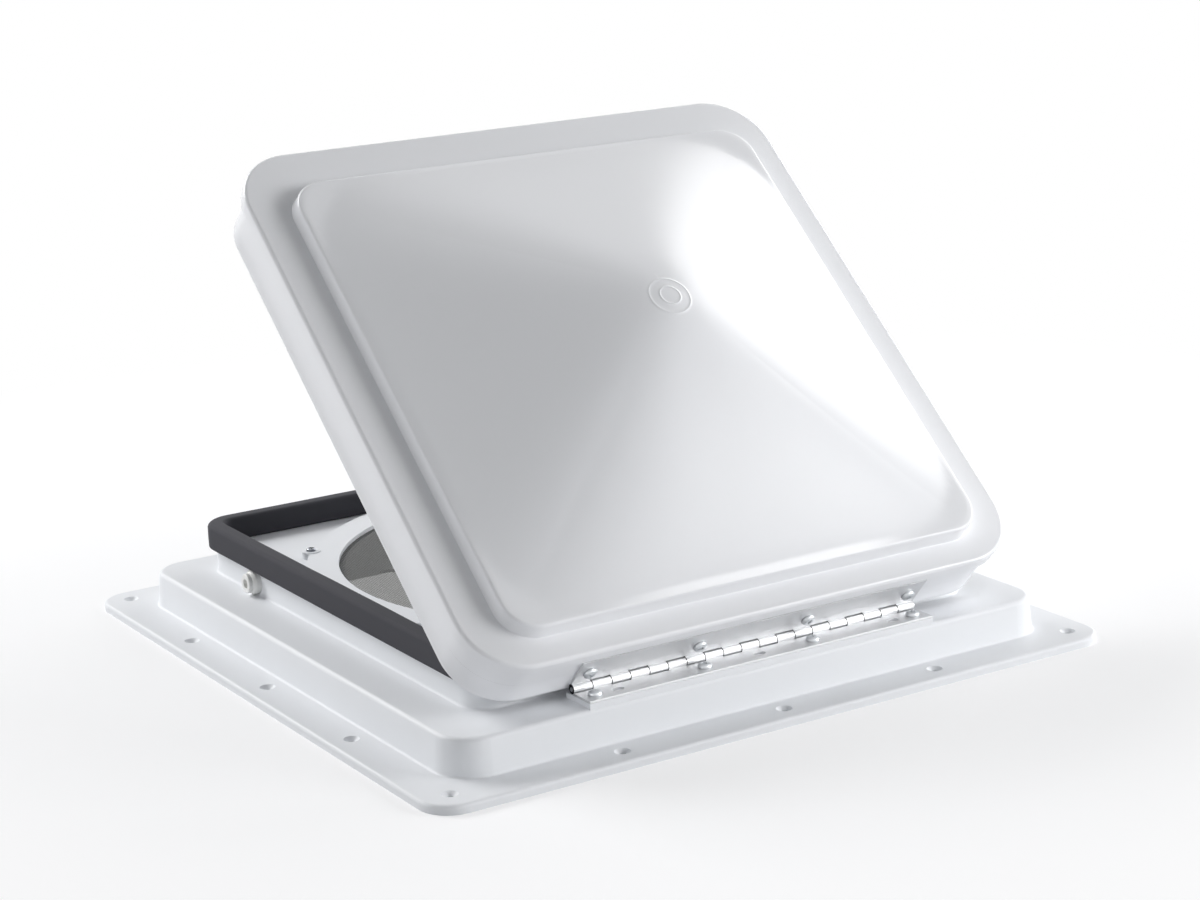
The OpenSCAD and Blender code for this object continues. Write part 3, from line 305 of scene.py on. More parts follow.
class Finish(NodeTree):
    """A material with one glossy surface shader."""

    def __init__(self, name):
        self.material = bpy.data.materials.new(name)
        self.material.use_nodes = True
        super().__init__(self.material.node_tree)
        self.surface = self.tree.nodes["Principled BSDF"]
        self.place = self.node("ShaderNodeTexCoord").outputs["Object"]

    def noise(self, scale, detail=2.0, stretch=(1.0, 1.0, 1.0)):
        """Cloudy noise over the piece, stretched along its axes."""
        place = self.node("ShaderNodeMapping", Vector=self.place, Scale=stretch).outputs[0]
        return self.value(self.node("ShaderNodeTexNoise", Vector=place, Scale=scale, Detail=detail))

    def tint(self, mask, low, high):
        """Mixes two colours by a mask."""
        return self.blend(mask, (*low, 1.0), (*high, 1.0))

    def blend(self, mask, low, high):
        """Mixes two colours or sockets by a mask."""
        return self.node("ShaderNodeMix", {"data_type": "RGBA"}, in_0=mask, in_6=low, in_7=high).outputs[2]

    def bump(self, height, distance, strength=1.0, soft_edge=0.0):
        """Relief, on edges that are rounded off where soft_edge is given."""
        inputs = {"Height": height, "Distance": distance, "Strength": strength}
        if soft_edge:
            inputs["Normal"] = self.node("ShaderNodeBevel", {"samples": 6}, Radius=soft_edge).outputs[0]
        return self.node("ShaderNodeBump", **inputs).outputs[0]

    def set(self, **inputs):
        for key, value in inputs.items():
            self.feed(self.surface.inputs[key.replace("_", " ")], value)
        return self.material


def shade(rgb, factor):
    """A colour made darker or lighter."""
    return tuple(min(1.0, channel * factor) for channel in rgb)


def white_finish(name, rgb, gloss):
    finish = Finish(name)
    cloud = finish.noise(12.0)
    grain = finish.noise(1400.0, 1.0)
    return finish.set(
        Base_Color=finish.tint(cloud, shade(rgb, 0.988), shade(rgb, 1.012)),
        Roughness=gloss + 0.08 * cloud,
        IOR=1.49,
        Normal=finish.bump(grain, 0.00002, 0.5))


def seal_finish(rgb):
    finish = Finish("seal_foam")
    cloud = finish.noise(60.0)
    skin = finish.noise(2600.0, 3.0)
    return finish.set(
        Base_Color=finish.tint(cloud, shade(rgb, 0.75), shade(rgb, 1.35)),
        Roughness=0.10 + 0.08 * cloud,
        IOR=1.5,
        Normal=finish.bump(skin, 0.00001, 0.3))


def screen_finish(rgb):
    finish = Finish("screen_mesh")
    cloud = finish.noise(300.0)
    return finish.set(
        Base_Color=finish.tint(cloud, shade(rgb, 0.7), shade(rgb, 1.3)),
        Roughness=0.30 + 0.25 * cloud,
        IOR=1.5,
        Normal=finish.bump(finish.noise(6000.0), 0.00002))


def painted_gap_shade(finish):
    """Mask of the painted shade in the gaps between the knuckles of the hinge, where the base colour goes
    near black.
    """
    apart = finish.node("ShaderNodeSeparateXYZ", Vector=finish.place)
    x, y, z = (finish.value(apart, axis) for axis in "XYZ")
    from_gap = ((x * (1 / KNUCKLE_LENGTH)).fraction() - 0.5).size() * KNUCKLE_LENGTH
    from_axis = ((y - HINGE.y) ** 2 + (z - HINGE.z) ** 2).root()
    in_gap = ((KNUCKLE_GAP - from_gap) * (4 / KNUCKLE_GAP)).greater(0.0).lesser(1.0)
    in_knuckle = ((KNUCKLE_RADIUS - from_axis) * (10 / KNUCKLE_RADIUS)).greater(0.0).lesser(1.0)
    return in_gap * in_knuckle


def aluminium_finish(rgb):
    finish = Finish("hinge_aluminium")
    streak = finish.noise(1.0, 3.0, stretch=(14.0, 2600.0, 2600.0))
    metal = finish.tint(streak, shade(rgb, 0.93), shade(rgb, 1.05))
    return finish.set(
        # Base colour goes near black in the knuckle gaps: painted shade between the knuckles
        Base_Color=finish.blend(painted_gap_shade(finish), metal, GAP_SHADE),
        Metallic=1.0,
        Roughness=0.38 + 0.16 * streak,
        Normal=finish.bump(streak, 0.00002, 0.5, soft_edge=0.0003))


def zinc_finish(rgb):
    finish = Finish("zinc_steel")
    cloud = finish.noise(700.0)
    return finish.set(
        Base_Color=finish.tint(cloud, shade(rgb, 0.85), shade(rgb, 1.12)),
        Metallic=1.0,
        Roughness=0.14 + 0.10 * cloud,
        Normal=finish.bump(finish.noise(3000.0), 0.00002, 0.4))


def steel_finish(rgb):
    finish = Finish("plain_steel")
    cloud = finish.noise(240.0)
    return finish.set(
        Base_Color=finish.tint(cloud, shade(rgb, 0.85), shade(rgb, 1.12)),
        Metallic=1.0,
        Roughness=0.28 + 0.2 * cloud,
        Normal=finish.bump(finish.noise(1800.0), 0.00003, 0.5, soft_edge=0.0003))


def nylon_finish(rgb):
    finish = Finish("nylon")
    cloud = finish.noise(120.0)
    return finish.set(
        Base_Color=finish.tint(cloud, shade(rgb, 0.96), shade(rgb, 1.03)),
        Roughness=0.34 + 0.14 * cloud,
        IOR=1.53,
        Normal=finish.bump(finish.noise(2200.0), 0.00003, 0.5, soft_edge=0.0004))


def dark_finish(rgb):
    finish = Finish("dark_plastic")
    cloud = finish.noise(160.0)
    return finish.set(
        Base_Color=finish.tint(cloud, shade(rgb, 0.8), shade(rgb, 1.25)),
        Roughness=0.40 + 0.16 * cloud,
        IOR=1.5,
        Normal=finish.bump(finish.noise(2400.0), 0.00004, 0.7, soft_edge=0.0005))


def square_ring(half, radius, z, middle_y=0.0, corner_steps=16, side_steps=40):
    """Points of a square with rounded corners, anticlockwise from the +X side."""
    points = []
    reach = half - radius
    corners = [(1, 1), (-1, 1), (-1, -1), (1, -1)]
    sides = [Vector((-1, 0)), Vector((0, -1)), Vector((1, 0)), Vector((0, 1))]
    for quarter, (cx, cy) in enumerate(corners):
        for step in range(corner_steps + 1):
            angle = math.radians(90 * (quarter + step / corner_steps))
            points.append(Vector((cx * reach + radius * math.cos(angle),
                                  cy * reach + radius * math.sin(angle) + middle_y, z)))
        start = points[-1].copy()
        for step in range(1, side_steps):
            along = sides[quarter] * (2 * reach * step / side_steps)
            points.append(start + Vector((along.x, along.y, 0.0)))
    return points


def arc(x, z, radius, first, last, steps):
    """Points of an arc in a profile, as pairs, between two angles in degrees."""
    angles = [math.radians(first + (last - first) * step / steps) for step in range(steps + 1)]
    return [(x + radius * math.cos(angle), z + radius * math.sin(angle)) for angle in angles]


def loft(mesh, rings, closed=False):
    """Skins a row of point rings that have equal counts. A closed row joins its last ring to its first."""
    rows = [[mesh.verts.new(point) for point in ring] for ring in rings]
    count = len(rows[0])
    pairs = list(zip(rows, rows[1:])) + ([(rows[-1], rows[0])] if closed else [])
    for low, high in pairs:
        for i in range(count):
            j = (i + 1) % count
            mesh.faces.new((low[i], low[j], high[j], high[i]))
    return rows


def cap(mesh, row, point):
    """Closes a ring of vertices with a fan to one point."""
    middle = mesh.verts.new(point)
    for i, vert in enumerate(row):
        mesh.faces.new((vert, row[(i + 1) % len(row)], middle))


def finished(name, mesh, material, sharp_angle=32.0):
    """Turns a bmesh into a smooth object with a finish, at the origin."""
    bmesh.ops.recalc_face_normals(mesh, faces=mesh.faces)
    data = bpy.data.meshes.new(name)
    mesh.to_mesh(data)
    mesh.free()
    data.polygons.foreach_set("use_smooth", [True] * len(data.polygons))
    data.set_sharp_from_angle(angle=math.radians(sharp_angle))
    data.materials.append(material)
    made = bpy.data.objects.new(name, data)
    bpy.context.scene.collection.objects.link(made)
    return made


def hand_over(piece, body, slot, *nodes):
    """Puts a piece on its body, in place of the CAD nodes that it stands for."""
    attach(piece, body)
    if nodes:
        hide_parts(*nodes)


def lid_turn():
    """Swings what is drawn shut to the open lid's place."""
    return Matrix.Translation(HINGE) @ Matrix.Rotation(OPEN_ANGLE, 4, "X") @ Matrix.Translation(-HINGE)


def dome_height(sizes, x, y):
    """Height of the dome above its step: a round top that turns into a tent with soft ridges."""
    across, along = abs(x / sizes.dome_half), abs(y / sizes.dome_half)
    power = 2 + (sizes.ridge_power - 2) * min(1.0, max(across, along))
    out = (across ** power + along ** power) ** (1 / power)
    soft = sizes.apex_soft
    foot = math.hypot(1, soft)
    share = max(0.0, (foot - math.hypot(out, soft)) / (foot - soft))
    return sizes.dome_rise * share ** sizes.dome_curve


def mark_height(sizes, r):
    """Relief of the moulding mark: two thin raised rings, one inside the other."""
    outer = math.exp(-(((r - sizes.mark_radius) / OUTER_MARK_WIDTH) ** 2))
    inner = math.exp(-(((r - sizes.mark_radius / 2) / INNER_MARK_WIDTH) ** 2))
    return sizes.mark_relief * (outer + inner)


def dome_rings(sizes, drop, steps):
    """Rings of one skin of the dome, from its foot to just short of the top, and the top itself."""
    middle_y = MIDDLE_Y - sizes.dome_shift
    half = sizes.dome_half - drop
    radius = sizes.dome_radius - drop
    edge = sizes.dome_edge
    top = sizes.rim_top + sizes.dome_step - drop
    slope = 0.001
    edge_run = 0.826 * edge
    round_from, round_to = 0.30, 0.10
    rings = []
    foot = sizes.rim_top if drop == 0 else sizes.rim_top - sizes.wall
    if drop == 0:
        round_in = sizes.dome_foot
        for inset, z in arc(-round_in, foot + round_in, round_in, 270, 360, 4):
            rings.append(square_ring(half - inset, radius - inset, z, middle_y))
    else:
        rings.append(square_ring(half, radius, foot, middle_y))
    for inset, z in arc(slope + edge, top - edge, edge, 180, 100, 6):
        rings.append(square_ring(half - inset, radius - inset, z, middle_y))
    reach = half - slope - edge_run
    tapers = [1 - step / steps for step in range(1, steps)]
    halves = [reach * taper for taper in tapers if reach * taper > MARK_REGION] + MARK_RINGS
    for h in halves:
        taper = h / reach
        round_off = min(1.0, max(0.0, (round_from - taper) / (round_from - round_to)))
        r = h * ((radius - edge) / reach * (1 - round_off) + round_off)
        ring = square_ring(h, r, 0.0)
        for point in ring:
            relief = mark_height(sizes, math.hypot(point.x, point.y)) if drop == 0 else 0.0
            point.z = top + dome_height(sizes, point.x, point.y) + relief
            point.y += middle_y
        rings.append(ring)
    return rings, Vector((0.0, middle_y, top + dome_height(sizes, 0.0, 0.0)))


def skirt_profile(sizes):
    """Outer profile of skirt and rim, as offsets outwards from the skirt's face and heights."""
    low, top, lip = sizes.skirt_low, sizes.rim_top, sizes.rim_lip
    under = top - sizes.rim_side
    waist = low + 0.52 * (under - low)
    bead = 0.0003
    bead_top = low + 0.0022
    lip_foot = under - lip / 2
    return [
        (0.0001, low), (bead, low + 0.0002), (bead, bead_top), (0.0, bead_top + 0.0006),
        (0.0, waist), (bead, waist + 0.0005), (bead, lip_foot - 0.0006),
        (0.0008, lip_foot), (lip - 0.0006, under - bead), (lip, under + bead),
        *arc(lip - sizes.rim_round, top - sizes.rim_round, sizes.rim_round, 0, 90, 10),
    ]


def lid_moulding(sizes, material):
    """The lid as one closed shell: skirt, rim and dome outside, and the same with the seat rib inside."""
    mesh = bmesh.new()
    half, radius, wall = sizes.skirt_half, sizes.skirt_radius, sizes.wall
    outside = [square_ring(half + out, radius + out, z, MIDDLE_Y) for out, z in skirt_profile(sizes)]
    outer_dome, outer_top = dome_rings(sizes, 0.0, 60)
    inner_dome, inner_top = dome_rings(sizes, wall, 24)
    under = sizes.rim_top - wall
    inside = [square_ring(half - wall, radius - wall, sizes.skirt_low, MIDDLE_Y),
              square_ring(half - wall, radius - wall, under - sizes.rim_lip, MIDDLE_Y),
              square_ring(half - wall - sizes.rim_lip, radius - wall - sizes.rim_lip, under, MIDDLE_Y)]
    for rib_half, rib_radius, z in seal_rib():
        inside.append(square_ring(rib_half, rib_radius, under if z is None else z, MIDDLE_Y))
    outer_rows = loft(mesh, outside + outer_dome)
    cap(mesh, outer_rows[-1], outer_top)
    inner_rows = loft(mesh, inside + inner_dome)
    cap(mesh, inner_rows[-1], inner_top)
    for i in range(len(outer_rows[0])):
        j = (i + 1) % len(outer_rows[0])
        mesh.faces.new((outer_rows[0][i], outer_rows[0][j], inner_rows[0][j], inner_rows[0][i]))
    track_low, track_high = track_pad()
    for vert in bmesh.ops.create_cube(mesh, size=1.0)["verts"]:
        corner = zip(track_low, track_high, vert.co)
        vert.co = Vector(low + (high - low) * (co + 0.5) for low, high, co in corner)
    bmesh.ops.transform(mesh, matrix=lid_turn(), verts=mesh.verts)
    return finished("lid_moulding", mesh, material, 30.0)


def seal_rib():
    """Rings of the rib over the seal: half width, corner radius and height, or None at the rim."""
    seal = bpy.context.scene.vent_seal
    low = SEAL_HIGH.z + seal.fit
    outer, corner, wall = seal.riser_half, seal.riser_radius, seal.riser_wall
    return [(outer, corner, None), (outer, corner, low), (outer - wall, corner - wall, low),
            (outer - wall, corner - wall, None)]


def track_pad():
    """Corners of the pad under the rim that carries the lift track, drawn shut."""
    back = lid_turn().inverted()
    corners = [back @ vert.co for vert in frame["nodes"]["lift_track"].data.vertices]
    low = Vector(min(corner[axis] for corner in corners) for axis in range(3))
    high = Vector(max(corner[axis] for corner in corners) for axis in range(3))
    lid = bpy.context.scene.vent_lid
    under = lid.rim_top - lid.wall
    margin, depth, overhang = 0.004, 0.004, 0.0003
    ledge = bpy.context.scene.vent_seal.riser_half - 0.015
    return (Vector((ledge, low.y - margin, under - depth)),
            Vector((high.x + overhang, high.y + margin, under + lid.wall / 2)))


class MESH_OT_vent_lid(bpy.types.Operator):
    """Builds the moulded lid with its rim, stepped dome and moulding mark"""

    bl_idname = "mesh.vent_lid"
    bl_label = "Lid moulding"

    def execute(self, context):
        piece = lid_moulding(context.scene.vent_lid, bpy.data.materials["white_plastic"])
        hand_over(piece, "lid", "white_plastic", "lid_shell")
        return {"FINISHED"}


def seal_profile(sizes):
    """Closed profile of the soft seal, as distances from the corner centre and heights."""
    outer = sizes.riser_radius + (SEAL_HIGH.x - sizes.riser_half)
    inner_leg = 0.004
    inner = sizes.riser_radius - sizes.riser_wall - inner_leg
    low, top = SEAL_LOW.z, SEAL_HIGH.z
    inner_low = low + 0.0011
    crown, outer_toe, inner_toe = 0.003, 0.0016, 0.0012
    gap_out = sizes.riser_radius + sizes.fit
    gap_in = sizes.riser_radius - sizes.riser_wall - sizes.fit
    gap_top = sizes.riser_top + sizes.fit
    return [
        (gap_out, low + 0.0006), (gap_out + 0.0008, low),
        *arc(outer - outer_toe, low + outer_toe, outer_toe, 270, 360, 5),
        (outer + 0.0001, low + 0.006),
        *arc(outer - crown, top - crown, crown, 0, 90, 9),
        *arc(inner + crown, top - crown, crown, 90, 180, 9),
        *arc(inner + inner_toe, inner_low + inner_toe, inner_toe, 180, 270, 4),
        (gap_in, inner_low + 0.0003), (gap_in, gap_top), (gap_out, gap_top),
    ]


def edge_seal(sizes, material):
    """The seal as a profile swept round the riser, whose crown wanders a little along its length."""
    mesh = bmesh.new()
    reach = sizes.riser_half - sizes.riser_radius
    rings = []
    for out, z in seal_profile(sizes):
        ring = square_ring(reach + out, out, z, MIDDLE_Y, corner_steps=14, side_steps=56)
        lift = max(0.0, z - SEAL_LOW.z) / (SEAL_HIGH.z - SEAL_LOW.z)
        for point in ring:
            bearing = math.atan2(point.y - MIDDLE_Y, point.x)
            wander = math.sin(7 * bearing + 0.6) + 0.6 * math.sin(17 * bearing + 2.1)
            point.z -= 0.4 * sizes.sway * lift * (1 + 0.6 * wander)
        rings.append(ring)
    loft(mesh, rings, closed=True)
    return finished("edge_seal", mesh, material, 50.0)


class MESH_OT_vent_seal(bpy.types.Operator):
    """Builds the black edge seal on the riser"""

    bl_idname = "mesh.vent_seal"
    bl_label = "Edge seal"

    def execute(self, context):
        piece = edge_seal(context.scene.vent_seal, bpy.data.materials["seal_foam"])
        hand_over(piece, "base", "seal_foam", "rim_seal")
        return {"FINISHED"}


class ShapeTree(NodeTree):
    """A Geometry Nodes tree with named inputs, which is baked to a plain mesh."""

    def __init__(self, name, **inputs):
        super().__init__(bpy.data.node_groups.new(name, "GeometryNodeTree"))
        self.sockets = {}
        self.tree.interface.new_socket("Geometry", in_out="INPUT", socket_type="NodeSocketGeometry")
        self.tree.interface.new_socket("Geometry", in_out="OUTPUT", socket_type="NodeSocketGeometry")
        for key, kind in inputs.items():
            made = self.tree.interface.new_socket(key.replace("_", " "), in_out="INPUT", socket_type=kind)
            self.sockets[key] = made.identifier
        self.inputs = self.node("NodeGroupInput").outputs

    def end(self, shape):
        """Realizes the shape, gives it its material and sends it out."""
        real = self.node("GeometryNodeRealizeInstances", Geometry=shape).outputs[0]
        smooth = self.node("GeometryNodeSetShadeSmooth", Geometry=real).outputs[0]
        painted = self.node("GeometryNodeSetMaterial", Geometry=smooth, Material=self.inputs["Finish"])
        self.node("NodeGroupOutput", Geometry=painted.outputs[0])

    def bake(self, name, points, **values):
        """Runs the tree on a mesh of points and returns the result as a plain object."""
        data = bpy.data.meshes.new(name + "_points")
        data.from_pydata(points, [], [])
        holder = bpy.data.objects.new(name, data)
        bpy.context.scene.collection.objects.link(holder)
        modifier = holder.modifiers.new("Shape", "NODES")
        modifier.node_group = self.tree
        for key, value in values.items():
            modifier[self.sockets[key]] = value
        graph = bpy.context.evaluated_depsgraph_get()
        baked = bpy.data.meshes.new_from_object(holder.evaluated_get(graph), depsgraph=graph)
        holder.modifiers.remove(modifier)
        holder.data = baked
        baked.name = name
        bpy.data.meshes.remove(data)
        return holder


def screen_tree():
    """Two layers of straight, flattened wires across a round hole, one over the other."""
    flatness, layer_lift = 0.4, 0.7
    shape = ShapeTree("woven_screen", Radius="NodeSocketFloat", Pitch="NodeSocketFloat",
                      Wire="NodeSocketFloat", Wires="NodeSocketInt", Middle="NodeSocketVector",
                      Finish="NodeSocketMaterial")
    given = shape.inputs
    radius = Value(shape, given["Radius"])
    pitch = Value(shape, given["Pitch"])
    wire = Value(shape, given["Wire"])
    first = shape.node("ShaderNodeCombineXYZ", X=(0.5 * pitch) - radius).outputs[0]
    step = shape.node("ShaderNodeCombineXYZ", X=pitch).outputs[0]
    row = shape.node("GeometryNodeMeshLine", Count=given["Wires"], Start_Location=first,
                     Offset=step).outputs[0]
    place = shape.node("GeometryNodeInputPosition").outputs[0]
    across = shape.value(shape.node("ShaderNodeSeparateXYZ", Vector=place))
    chord = 2 * (radius * radius - across * across).greater(0.0).root()
    stretch = shape.node("ShaderNodeCombineXYZ", X=wire, Y=flatness * wire, Z=chord).outputs[0]
    rod = shape.node("GeometryNodeMeshCylinder", Vertices=6, Radius=1.0, Depth=1.0).outputs[0]
    laid = shape.node("GeometryNodeInstanceOnPoints", Points=row, Instance=rod, Scale=stretch,
                      Rotation=(math.pi / 2, 0.0, 0.0)).outputs[0]
    lift = shape.node("ShaderNodeCombineXYZ", Z=layer_lift * wire).outputs[0]
    crossed = shape.node("GeometryNodeTransform", Geometry=laid, Translation=lift,
                         Rotation=(0.0, 0.0, math.pi / 2)).outputs[0]
    both = shape.node("GeometryNodeJoinGeometry", Geometry=laid)
    shape.tree.links.new(crossed, both.inputs["Geometry"])
    placed = shape.node("GeometryNodeTransform", Geometry=both.outputs[0], Translation=given["Middle"])
    shape.end(placed.outputs[0])
    return shape


class MESH_OT_vent_screen(bpy.types.Operator):
    """Weaves the insect screen under the collar"""

    bl_idname = "mesh.vent_screen"
    bl_label = "Insect screen"

    def execute(self, context):
        sizes = context.scene.vent_screen
        radius = SCREEN_HIGH.x
        piece = screen_tree().bake(
            "woven_screen", [(0.0, 0.0, 0.0)], Radius=radius, Pitch=sizes.pitch, Wire=sizes.wire,
            Wires=int(2 * radius / sizes.pitch), Middle=(0.0, MIDDLE_Y, SCREEN_LOW.z + sizes.wire),
            Finish=bpy.data.materials["screen_mesh"])
        hand_over(piece, "base", "screen_mesh", "insect_screen")
        return {"FINISHED"}


def lathe(mesh, profile, segments):
    """Turns a profile of radius and height pairs about Z, closed at both ends of the axis."""
    rows = []
    for radius, z in profile:
        turn = [2 * math.pi * i / segments for i in range(segments)]
        rows.append([Vector((radius * math.cos(a), radius * math.sin(a), z)) for a in turn])
    made = loft(mesh, rows)
    cap(mesh, made[0], Vector((0.0, 0.0, profile[0][1])))
    cap(mesh, made[-1], Vector((0.0, 0.0, profile[-1][1])))


def cross_cutter(sizes):
    """A cross with tapered arms that cuts the recess of a screw head."""
    mesh = bmesh.new()
    floor, top = sizes.head_height - sizes.recess_depth, sizes.head_height + 0.001
    floor_taper = 0.55
    for turn in (0.0, math.pi / 2):
        arm = bmesh.ops.create_cube(mesh, size=1.0)["verts"]
        for vert in arm:
            taper = floor_taper if vert.co.z < 0 else 1.0
            vert.co = Vector((2 * sizes.recess_reach * taper * vert.co.x, sizes.recess_width * vert.co.y,
                              floor if vert.co.z < 0 else top))
        bmesh.ops.rotate(mesh, verts=arm, cent=(0, 0, 0), matrix=Matrix.Rotation(turn, 3, "Z"))
    return finished("cross_cutter", mesh, bpy.data.materials["zinc_steel"])


def pan_screw(sizes, shank):
    """One pan-head screw with a cross recess, its head above the origin."""
    mesh = bmesh.new()
    r, h = sizes.head_radius, sizes.head_height
    shank_radius = sizes.shank_radius
    shoulder, bevel = 0.62 * h, 0.0003
    dome = arc(r - shoulder, 0.3 * h, shoulder, 0, 82, 7)
    tip = [(0.0006, -shank), (shank_radius * 0.8, -shank + 0.0012), (shank_radius, -shank + 0.002)]
    head = [(shank_radius, 0.0), (r - bevel, 0.0), (r, bevel), *dome, (0.0004, h)]
    lathe(mesh, tip + head, 40)
    screw = finished("pan_screw", mesh, bpy.data.materials["zinc_steel"])
    cutter = cross_cutter(sizes)
    cut = screw.modifiers.new("Recess", "BOOLEAN")
    cut.object = cutter
    cut.solver = "EXACT"
    cut.use_self = True
    graph = bpy.context.evaluated_depsgraph_get()
    baked = bpy.data.meshes.new_from_object(screw.evaluated_get(graph), depsgraph=graph)
    screw.modifiers.remove(cut)
    screw.data = baked
    bpy.data.objects.remove(cutter)
    return screw


def screw_tree():
    """One screw on each point, all along one axis and each turned by its own amount."""
    shape = ShapeTree("leaf_screws", Screw="NodeSocketObject", Axis="NodeSocketVector",
                      Finish="NodeSocketMaterial")
    given = shape.inputs
    body = shape.node("GeometryNodeObjectInfo", Object=given["Screw"]).outputs["Geometry"]
    upright = shape.node("FunctionNodeAlignRotationToVector", {"axis": "Z"}, Vector=given["Axis"]).outputs[0]
    most_turn = 1.5
    turn = shape.node("FunctionNodeRandomValue", {"data_type": "FLOAT"}, in_2=0.0, in_3=most_turn,
                      Seed=4).outputs[1]
    spin = shape.node("ShaderNodeCombineXYZ", Z=turn).outputs[0]
    turned = shape.node("FunctionNodeRotateRotation", {"rotation_space": "LOCAL"}, Rotation=upright,
                        Rotate_By=spin)
    placed = shape.node("GeometryNodeInstanceOnPoints", Points=given["Geometry"], Instance=body,
                        Rotation=turned.outputs[0]).outputs[0]
    shape.end(placed)
    return shape


def screw_seats(node, axis):
    """Places of the screws of a CAD node under their heads, and the length of their shanks."""
    sizes = bpy.context.scene.vent_screws
    data = frame["nodes"][node].data
    across = sorted(vert.co.x for vert in data.vertices)
    groups = [[across[0]]]
    for x in across[1:]:
        if x - groups[-1][-1] > sizes.head_radius:
            groups.append([])
        groups[-1].append(x)
    heights = [vert.co.dot(axis) for vert in data.vertices]
    head = max(heights) - sizes.head_height
    side = axis.cross(Vector((1.0, 0.0, 0.0)))
    sides = [vert.co.dot(side) for vert in data.vertices]
    place = axis * head + side * ((min(sides) + max(sides)) / 2)
    seats = [Vector(((group[0] + group[-1]) / 2, place.y, place.z)) for group in groups]
    return seats, head - min(heights)


class MESH_OT_vent_screws(bpy.types.Operator):
    """Sets the pan-head screws of both hinge leaves"""

    bl_idname = "mesh.vent_screws"
    bl_label = "Hinge screws"

    def execute(self, context):
        sizes = context.scene.vent_screws
        tree = screw_tree()
        finish = bpy.data.materials["zinc_steel"]
        upward = Vector((0.0, 0.0, 1.0))
        outward = lid_turn().to_3x3() @ Vector((0.0, -1.0, 0.0))
        for node, body, axis in (("base_leaf_screws", "base", upward), ("lid_leaf_screws", "lid", outward)):
            seats, shank = screw_seats(node, axis)
            screw = pan_screw(sizes, shank)
            piece = tree.bake("pan_" + node, seats, Screw=screw, Axis=axis, Finish=finish)
            bpy.data.objects.remove(screw)
            piece.data.set_sharp_from_angle(angle=math.radians(32.0))
            hand_over(piece, body, "zinc_steel", node)
        return {"FINISHED"}


class MATERIAL_OT_vent_finishes(bpy.types.Operator):
    """Makes the finishes and puts them on the CAD nodes that stay in view"""

    bl_idname = "material.vent_finishes"
    bl_label = "Finishes"

    def execute(self, context):
        tones = context.scene.vent_colours
        made = {
            "white_plastic": white_finish("white_plastic", tones.white, 0.12),
            "white_satin": white_finish("white_satin", tones.satin, 0.46),
            "seal_foam": seal_finish(tones.seal),
            "screen_mesh": screen_finish(tones.screen),
            "hinge_aluminium": aluminium_finish(tones.aluminium),
            "zinc_steel": zinc_finish(tones.zinc),
            "plain_steel": steel_finish(tones.steel),
            "nylon": nylon_finish(tones.nylon),
            "dark_plastic": dark_finish(tones.dark),
        }
        for slot, nodes in FINISH_OF_NODE.items():
            for node in nodes:
                holder = frame["nodes"][node]
                for i in range(max(1, len(holder.material_slots))):
                    if holder.material_slots:
                        holder.material_slots[i].material = made[slot]
                    else:
                        holder.data.materials.append(made[slot])
        return {"FINISHED"}


def seen_rays(tree):
    """1 for rays that show the background itself: straight to the camera, mirrored or through glass."""
    path = tree.node("ShaderNodeLightPath")
    camera = tree.value(path, "Is Camera Ray")
    return camera.greater(tree.value(path, "Is Glossy Ray")).greater(tree.value(path, "Is Transmission Ray"))


def studio_world(stage):
    """White surroundings to the eye, which light the object from the sides more than from above."""
    world = bpy.data.worlds.new("studio")
    world.use_nodes = True
    world.node_tree.nodes.clear()
    tree = NodeTree(world.node_tree)
    toward = tree.node("ShaderNodeTexCoord").outputs["Generated"]
    height = tree.value(tree.node("ShaderNodeSeparateXYZ", Vector=toward), "Z").greater(0.0)
    level = stage.horizon + (stage.zenith - stage.horizon) * height ** 0.7
    light = tree.node("ShaderNodeBackground", Strength=level, Color=(0.90, 0.95, 1.0, 1.0)).outputs[0]
    white = tree.node("ShaderNodeBackground", Strength=1.0, Color=WHITE).outputs[0]
    mixed = tree.node("ShaderNodeMixShader", Fac=seen_rays(tree), in_1=light, in_2=white).outputs[0]
    tree.node("ShaderNodeOutputWorld", Surface=mixed)
    bpy.context.scene.world = world


def floor_finish(stage):
    """White floor that glows where it is seen, so that only soft shadow near the part shows on it."""
    material = bpy.data.materials.new("floor")
    material.use_nodes = True
    material.node_tree.nodes.clear()
    tree = NodeTree(material.node_tree)
    plain = tree.node("ShaderNodeBsdfDiffuse", Color=(0.80, 0.80, 0.81, 1.0)).outputs[0]
    dim = tree.node("ShaderNodeBsdfDiffuse", Color=(0.50, 0.50, 0.51, 1.0)).outputs[0]
    glow = tree.node("ShaderNodeEmission", Color=WHITE, Strength=stage.floor_glow).outputs[0]
    white = tree.node("ShaderNodeEmission", Color=WHITE, Strength=1.0).outputs[0]
    place = tree.node("ShaderNodeTexCoord").outputs["Object"]
    away = tree.value(tree.node("ShaderNodeVectorMath", {"operation": "LENGTH"}, in_0=place), "Value")
    far = ((away - SHADOW_REACH) * (1 / SHADOW_FADE)).greater(0.0).lesser(1.0)
    near = tree.node("ShaderNodeAddShader", in_0=dim, in_1=glow).outputs[0]
    seen = tree.node("ShaderNodeMixShader", Fac=far, in_1=near, in_2=white).outputs[0]
    mixed = tree.node("ShaderNodeMixShader", Fac=seen_rays(tree), in_1=plain, in_2=seen).outputs[0]
    tree.node("ShaderNodeOutputMaterial", Surface=mixed)
    return material


def softbox(name, place, aim, size, power):
    """A large oblong lamp that faces a point."""
    data = bpy.data.lights.new(name, "AREA")
    data.shape = "RECTANGLE"
    data.size, data.size_y = size
    data.energy = power
    lamp = bpy.data.objects.new(name, data)
    lamp.location = place
    lamp.rotation_euler = (Vector(aim) - Vector(place)).to_track_quat("-Z", "Y").to_euler()
    bpy.context.scene.collection.objects.link(lamp)


